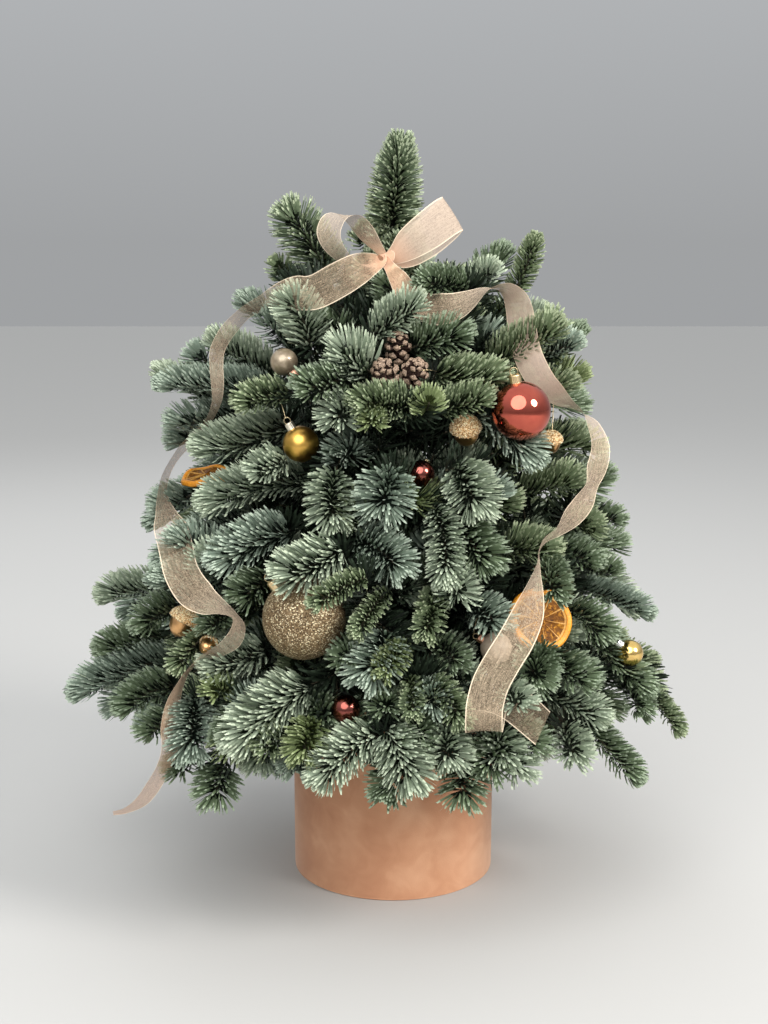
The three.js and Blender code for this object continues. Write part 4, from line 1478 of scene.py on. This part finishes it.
# Ribbon
# One length of sheer organza, 25 mm wide with a firm bright edge on both sides, tied in a bow
# under the leader, its tails drawn down round the crown and tucked in here and there. A faint
# glow, stronger where its far side shows, stands for the daylight that comes through it.
RIBBON_WIDTH = 25.0
RIBBON_ROWS = 9
RIBBON_STEP = 1.6
RIBBON_CUP = 0.8
WAVE_LENGTH = 9.0
CURVE_POINTS = 24
# Past 1, how doubled the band lies drives a painted glow, so where its far side shows the value mostly makes
# it glow.
CREASED = 0.65  # how doubled the band lies where it is seen edge-on
FAR_SIDE_GLOW = 1.7  # and where its far side shows

organza, paint = new_material("organza", Roughness=0.62, Specular_IOR_Level=0.15, Emission_Strength=0.12)
woven = paint.node("TexCoord", output="UV")
crossways = paint.node("SeparateXYZ", values={"Vector": woven}, output="Y")
from_middle = paint.node("Math", {"operation": "ABSOLUTE"}, {0: crossways - 0.5}) * 2
edge = from_middle.stretched(0.93, 0.96)
lengthwise = paint.node("Mapping", values={"Vector": woven, "Scale": (70.0, 44.0, 1.0)})
threads = paint.node("TexNoise", values={"Vector": lengthwise, "Scale": 1.0, "Detail": 4})
crushed = paint.node("Mapping", values={"Vector": woven, "Scale": (420.0, 11.0, 1.0)})
crinkles = paint.node("TexNoise", values={"Vector": crushed, "Scale": 1.0, "Detail": 4, "Distortion": 2.6})
warp = threads * 0.45 + crinkles * 0.55
doubled = paint.node("Attribute", {"attribute_name": "doubled"}, output="Fac")
gathers = paint.node("Attribute", {"attribute_name": "gathers"}, output="Fac")
sheer = warp.coloured((0.38, (0.30, 0.226, 0.15)), (0.62, (0.575, 0.45, 0.315)))
folded = (doubled * 0.5).mixed(sheer, (0.53, 0.425, 0.365))
peach = (gathers * 0.75).mixed(folded, (0.84, 0.44, 0.27))
selvedge = edge.mixed(peach, (0.90, 0.74, 0.56))
# painted glow: the band gives off light itself, faintly everywhere and more where it is turned over, for the
# daylight through it
backlit = doubled.stretched(1.0, 1.6) * (warp * 1.7 - 0.15)
cover = (warp + edge * 0.4 + gathers * 0.3 + doubled * 0.22).stretched(0.36, 0.74, 0.20, 0.68)
feed(organza, Base_Color=selvedge, Emission_Color=backlit.mixed(selvedge, (3.3, 2.4, 1.75)), Alpha=cover)


def smooth_through(controls, step):
    """Points at even steps along a smooth curve through controls, all columns alike."""
    controls = np.asarray(controls, dtype=float)
    padded = np.concatenate([2 * controls[:1] - controls[1:2], controls, 2 * controls[-1:] - controls[-2:-1]])
    t = np.linspace(0, 1, CURVE_POINTS, endpoint=False)[:, None]
    dense = []
    for a, b, c, d in zip(padded, padded[1:], padded[2:], padded[3:]):
        squared = (2 * a - 5 * b + 4 * c - d) * t ** 2
        cubed = (3 * b - a - 3 * c + d) * t ** 3
        dense.append(0.5 * (2 * b + (c - a) * t + squared + cubed))
    dense = np.concatenate([*dense, controls[-1:]])
    run = np.concatenate([[0], np.cumsum(np.linalg.norm(np.diff(dense[:, :3], axis=0), axis=1))])
    even = np.linspace(0, run[-1], max(8, int(run[-1] / step)))
    return np.stack([np.interp(even, run, dense[:, k]) for k in range(dense.shape[1])], axis=1), even


def ribbon_band(name, controls, ripple=0.5):
    """A band through controls of a place, a direction across it, a width and how doubled it lies, which past
    1 is painted glow.
    """
    path, run = smooth_through(controls, RIBBON_STEP)
    centre = path[:, :3]
    forward = unit(np.gradient(centre, axis=0))
    width_way = unit(path[:, 3:6])
    face = unit(np.cross(forward, width_way))
    rows = np.linspace(-0.5, 0.5, RIBBON_ROWS)
    cup = (4 * rows ** 2 - 0.5) * RIBBON_CUP
    waves = np.sin(run[:, None] / WAVE_LENGTH + rows * 3) * ripple
    corners = centre[:, None] + width_way[:, None] * (path[:, 6:7] * rows)[..., None]
    corners = corners + face[:, None] * (cup + waves)[..., None]
    low = (np.arange(len(centre) - 1)[:, None] * RIBBON_ROWS + np.arange(RIBBON_ROWS - 1)).ravel()
    faces = np.stack([low, low + 1, low + RIBBON_ROWS + 1, low + RIBBON_ROWS], axis=1)
    band = new_piece(name, "velvet", corners.reshape(-1, 3), faces, [organza]).data
    grid = np.stack(np.broadcast_arrays(run[:, None] * MM, rows + 0.5), axis=2).reshape(-1, 2)
    band.uv_layers.new(name="weave").data.foreach_set("uv", grid[faces.ravel()].astype(np.float32).ravel())
    gathered = np.clip(1 - path[:, 6] / RIBBON_WIDTH, 0, 1) ** 0.7
    for attribute, values in (("gathers", gathered), ("doubled", path[:, 7])):
        values = np.repeat(values, RIBBON_ROWS).astype(np.float32)
        band.attributes.new(attribute, "FLOAT", "POINT").data.foreach_set("value", values)


def draped(route):
    """Turns (pixel x, pixel y, nearness, turn, width) into places along the crown's outline."""
    depths = np.array([how_far(px, py, 0) - nearness for px, py, nearness, _, _ in route])
    eased = np.convolve(np.pad(depths, 2, mode="edge"), np.ones(5) / 5, mode="valid")
    travel = np.gradient(np.array(route)[:, :2], axis=0)
    controls = []
    for (px, py, _, turn, width), (right, down), depth in zip(route, travel, eased):
        ray = pixel_ray(px, py)
        flat = math.cos(math.radians(turn))
        edge_on = math.sin(math.radians(turn))
        # the far side's share is mostly painted glow
        dense = CREASED * edge_on ** 2 + FAR_SIDE_GLOW * max(0, -flat)
        width_way = in_picture(down, right) * flat + ray * edge_on
        controls.append((*(CAMERA_PLACE + ray * depth), *width_way, width, dense))
    return controls


LEFT_TAIL = (
    (376, 262, 24, 30, 14), (360, 268, 24, 12, 22), (340, 279, 22, 4, 25), (315, 292, 18, 0, 25),
    (297, 293, 6, 20, 25), (280, 296, 0, 45, 25), (262, 303, 4, 62, 25), (247, 311, 8, 68, 25),
    (236, 321, 10, 68, 25), (225, 334, 10, 66, 25), (217, 350, 10, 64, 25), (216, 366, 4, 66, 25),
    (217, 384, -20, 70, 25), (216, 402, -22, 76, 25), (207, 422, -22, 78, 25), (194, 437, -22, 76, 25),
    (179, 452, -20, 76, 25), (166, 474, -22, 76, 25), (162, 496, -24, 74, 25), (166, 515, -14, 50, 25),
    (171, 530, 8, 15, 25), (176, 549, 16, 0, 25), (181, 571, 18, 0, 25), (192, 590, 18, 10, 25),
    (207, 602, 18, 40, 25), (222, 608, 18, 68, 25), (234, 616, 16, 82, 25), (238, 627, 16, 70, 25),
    (233, 640, 16, 62, 25), (220, 650, 14, 68, 25), (204, 657, 6, 80, 25), (190, 668, -14, 86, 23),
    (181, 682, -12, 76, 21), (173, 703, -2, 62, 21), (169, 726, 4, 58, 20), (169, 749, 4, 58, 20),
    (163, 768, 4, 58, 20), (153, 786, 4, 60, 20), (141, 801, 4, 64, 19), (126, 810, 4, 72, 18),
    (113, 813, 4, 80, 17),
)
RIGHT_TAIL = (
    (389, 266, 22, 40, 11), (397, 277, 18, 35, 16), (405, 290, 2, 35, 20), (416, 302, -16, 30, 23),
    (430, 309, -12, 20, 25), (443, 309, 4, 20, 25), (457, 306, 14, 38, 25), (471, 299, 18, 60, 25),
    (484, 291, 18, 78, 25), (496, 288, 18, 94, 25), (507, 291, 14, 116, 25), (515, 299, 10, 132, 25),
    (519, 310, 2, 140, 25), (521, 325, -20, 142, 25), (524, 342, -34, 142, 25),
    (528, 356, -26, 142, 25), (535, 371, 0, 142, 25), (545, 386, 18, 136, 25), (560, 398, 22, 118, 25),
    (571, 405, 18, 104, 25), (581, 412, 14, 96, 25), (592, 424, 12, 68, 25), (599, 440, 12, 58, 25),
    (600, 453, 14, 54, 25), (596, 470, 16, 52, 25), (591, 487, 18, 66, 25), (583, 503, 18, 54, 25),
    (572, 517, 18, 52, 25), (559, 531, 18, 74, 25), (546, 539, 18, 84, 25), (539, 550, 18, 90, 25),
    (538, 563, 18, 84, 25), (536, 576, 18, 72, 25), (533, 594, 20, 52, 25), (527, 616, 22, 24, 25),
    (516, 640, 24, 2, 25), (503, 661, 24, 0, 25), (491, 683, 22, 0, 25), (485, 704, 22, 0, 25),
    (484, 716, 22, 0, 25),
)
RIGHT_ROLL = (  # right, towards the viewer and up, the direction across the band
    (0.0, -2.5, -8.0, (1, 0, 0)), (0.5, -8, -12, (1, 0, 0)), (2, -14, -8, (1, 0, 0)),
    (4, -17, 0, (1, 0, 0.1)), (8, -22, 6, (0.9, 0, 0.4)), (14, -26, 8, (0.7, 0, 0.7)),
    (23, -28, 4, (0.6, 0, 0.8)), (33, -28, -4, (0.5, 0, 0.85)), (42, -27, -12, (0.4, 0, 0.9)),
)
left_places = draped(LEFT_TAIL)
right_places = draped(RIGHT_TAIL)
LEFT_AXIS = (0.72, 0.66, -0.2)
RIGHT_AXIS = (0.55, -0.12, -0.83)
LEFT_LOOP = (
    (0, 0, 0, 7), (-5, -4, 7, 13), (-12, -8, 16, 22), (-20, -10, 28, 27), (-29, -7, 35, 27),
    (-38, 0, 31, 26), (-42, 6, 18, 25), (-36, 8, 5, 25), (-24, 6, -4, 23), (-10, 3, -4, 13),
    (0, 0, 0, 7),
)
RIGHT_LOOP = (
    (0, 0, 0, 7), (7, 3, 3, 14), (16, 6, 10, 23), (30, 7, 20, 28), (43, 5, 30, 29), (49, 1.5, 34, 29),
    (49, -1.5, 34, 29), (43, -5, 28, 29), (30, -7, 17, 28), (16, -6, 6, 22), (7, -3, 0, 13),
    (0, 0, 0, 7),
)
KNOT = (
    (-1, 2, 5, 9), (2, 5, 3, 9), (2, 6, -1, 9), (0, 5, -4, 9), (-3, 0, -5, 9), (-4, -4, 0, 9),
    (-2, 0, 4, 9), (0, 3, 4, 9),
)
KNOT_AXIS = (0.95, 0.0, 0.3)
picture_basis = np.array((in_picture(1, 0), in_picture(0, 0, 1), in_picture(0, 1)))


def beside(origin, controls, axis, doubled_by):
    """Turns (right, towards the viewer, up, width) about an origin into places."""
    across_band = np.array(axis) @ picture_basis
    places = [origin + np.array(control[:3]) @ picture_basis for control in controls]
    return [(*place, *across_band, control[3], doubled_by) for place, control in zip(places, controls)]


fold = np.array(right_places[-1][:3])
for right, towards, up, axis in RIGHT_ROLL:
    right_places += beside(fold, [(right, towards, up, RIBBON_WIDTH)], axis, -0.5)
knot_start = (*knot, *(np.array((0.0, 0.3, 0.95)) @ picture_basis), 7, 1.0)
ribbon_band("ribbon_left_tail", [knot_start, *left_places])
ribbon_band("ribbon_right_tail", [knot_start, *right_places])
ribbon_band("ribbon_left_loop", beside(knot, LEFT_LOOP, LEFT_AXIS, 0.6), ripple=0.2)
ribbon_band("ribbon_right_loop", beside(knot, RIGHT_LOOP, RIGHT_AXIS, 1.0), ripple=0.2)
ribbon_band("ribbon_knot", beside(knot, KNOT, KNOT_AXIS, 1.0))


# Floor and light
# A plain pale floor under a soft overcast sky, which is brighter overhead than near the ground.
# A soft lamp stands above the viewer's right, a wide one above the viewer's head and a weak one
# behind the tree.
floor_finish, paint = new_material("pale_floor", Base_Color=(0.44, 0.435, 0.425, 1), Roughness=0.8)
floor_mesh = bpy.data.meshes.new("floor")
floor_mesh.from_pydata([(-8, -8, 0), (8, -8, 0), (8, 8, 0), (-8, 8, 0)], [], [(0, 1, 2, 3)])
floor_mesh.materials.append(floor_finish)
floor = bpy.data.objects.new("floor", floor_mesh)
bpy.context.collection.objects.link(floor)

world = bpy.data.worlds.new("studio")
world.use_nodes = True
paint = Shade(world.node_tree)
upwards = paint.node("SeparateXYZ", values={"Vector": paint.node("TexCoord", output="Generated")}, output="Z")
sky = upwards.coloured((0.0, (0.44, 0.45, 0.46)), (0.25, (0.62, 0.64, 0.66)), (0.8, (1.25, 1.28, 1.3)))
world.node_tree.links.new(sky.socket, world.node_tree.nodes["Background"].inputs["Color"])
world.node_tree.nodes["Background"].inputs["Strength"].default_value = 0.8
bpy.context.scene.world = world

LAMPS_LOOK_AT = Vector((0, 0, 0.3))
for name, place, size, energy, colour in (
    ("key", (1.6, -1.2, 1.5), 0.9, 54, (1.0, 0.97, 0.93)),
    ("front", (-0.5, -1.9, 1.9), 2.6, 60, (1.0, 1.0, 0.98)),
    ("rim", (-0.6, 1.6, 1.6), 1.4, 10, (0.96, 0.98, 1.0)),
):
    lamp_data = bpy.data.lights.new(name, "AREA")
    lamp_data.shape = "DISK"
    lamp_data.size = size
    lamp_data.energy = energy
    lamp_data.color = colour
    lamp = bpy.data.objects.new(name, lamp_data)
    lamp.location = place
    lamp.rotation_euler = (LAMPS_LOOK_AT - Vector(place)).to_track_quat("-Z", "Y").to_euler()
    bpy.context.collection.objects.link(lamp)
bpy.context.scene.view_settings.view_transform = "Standard"
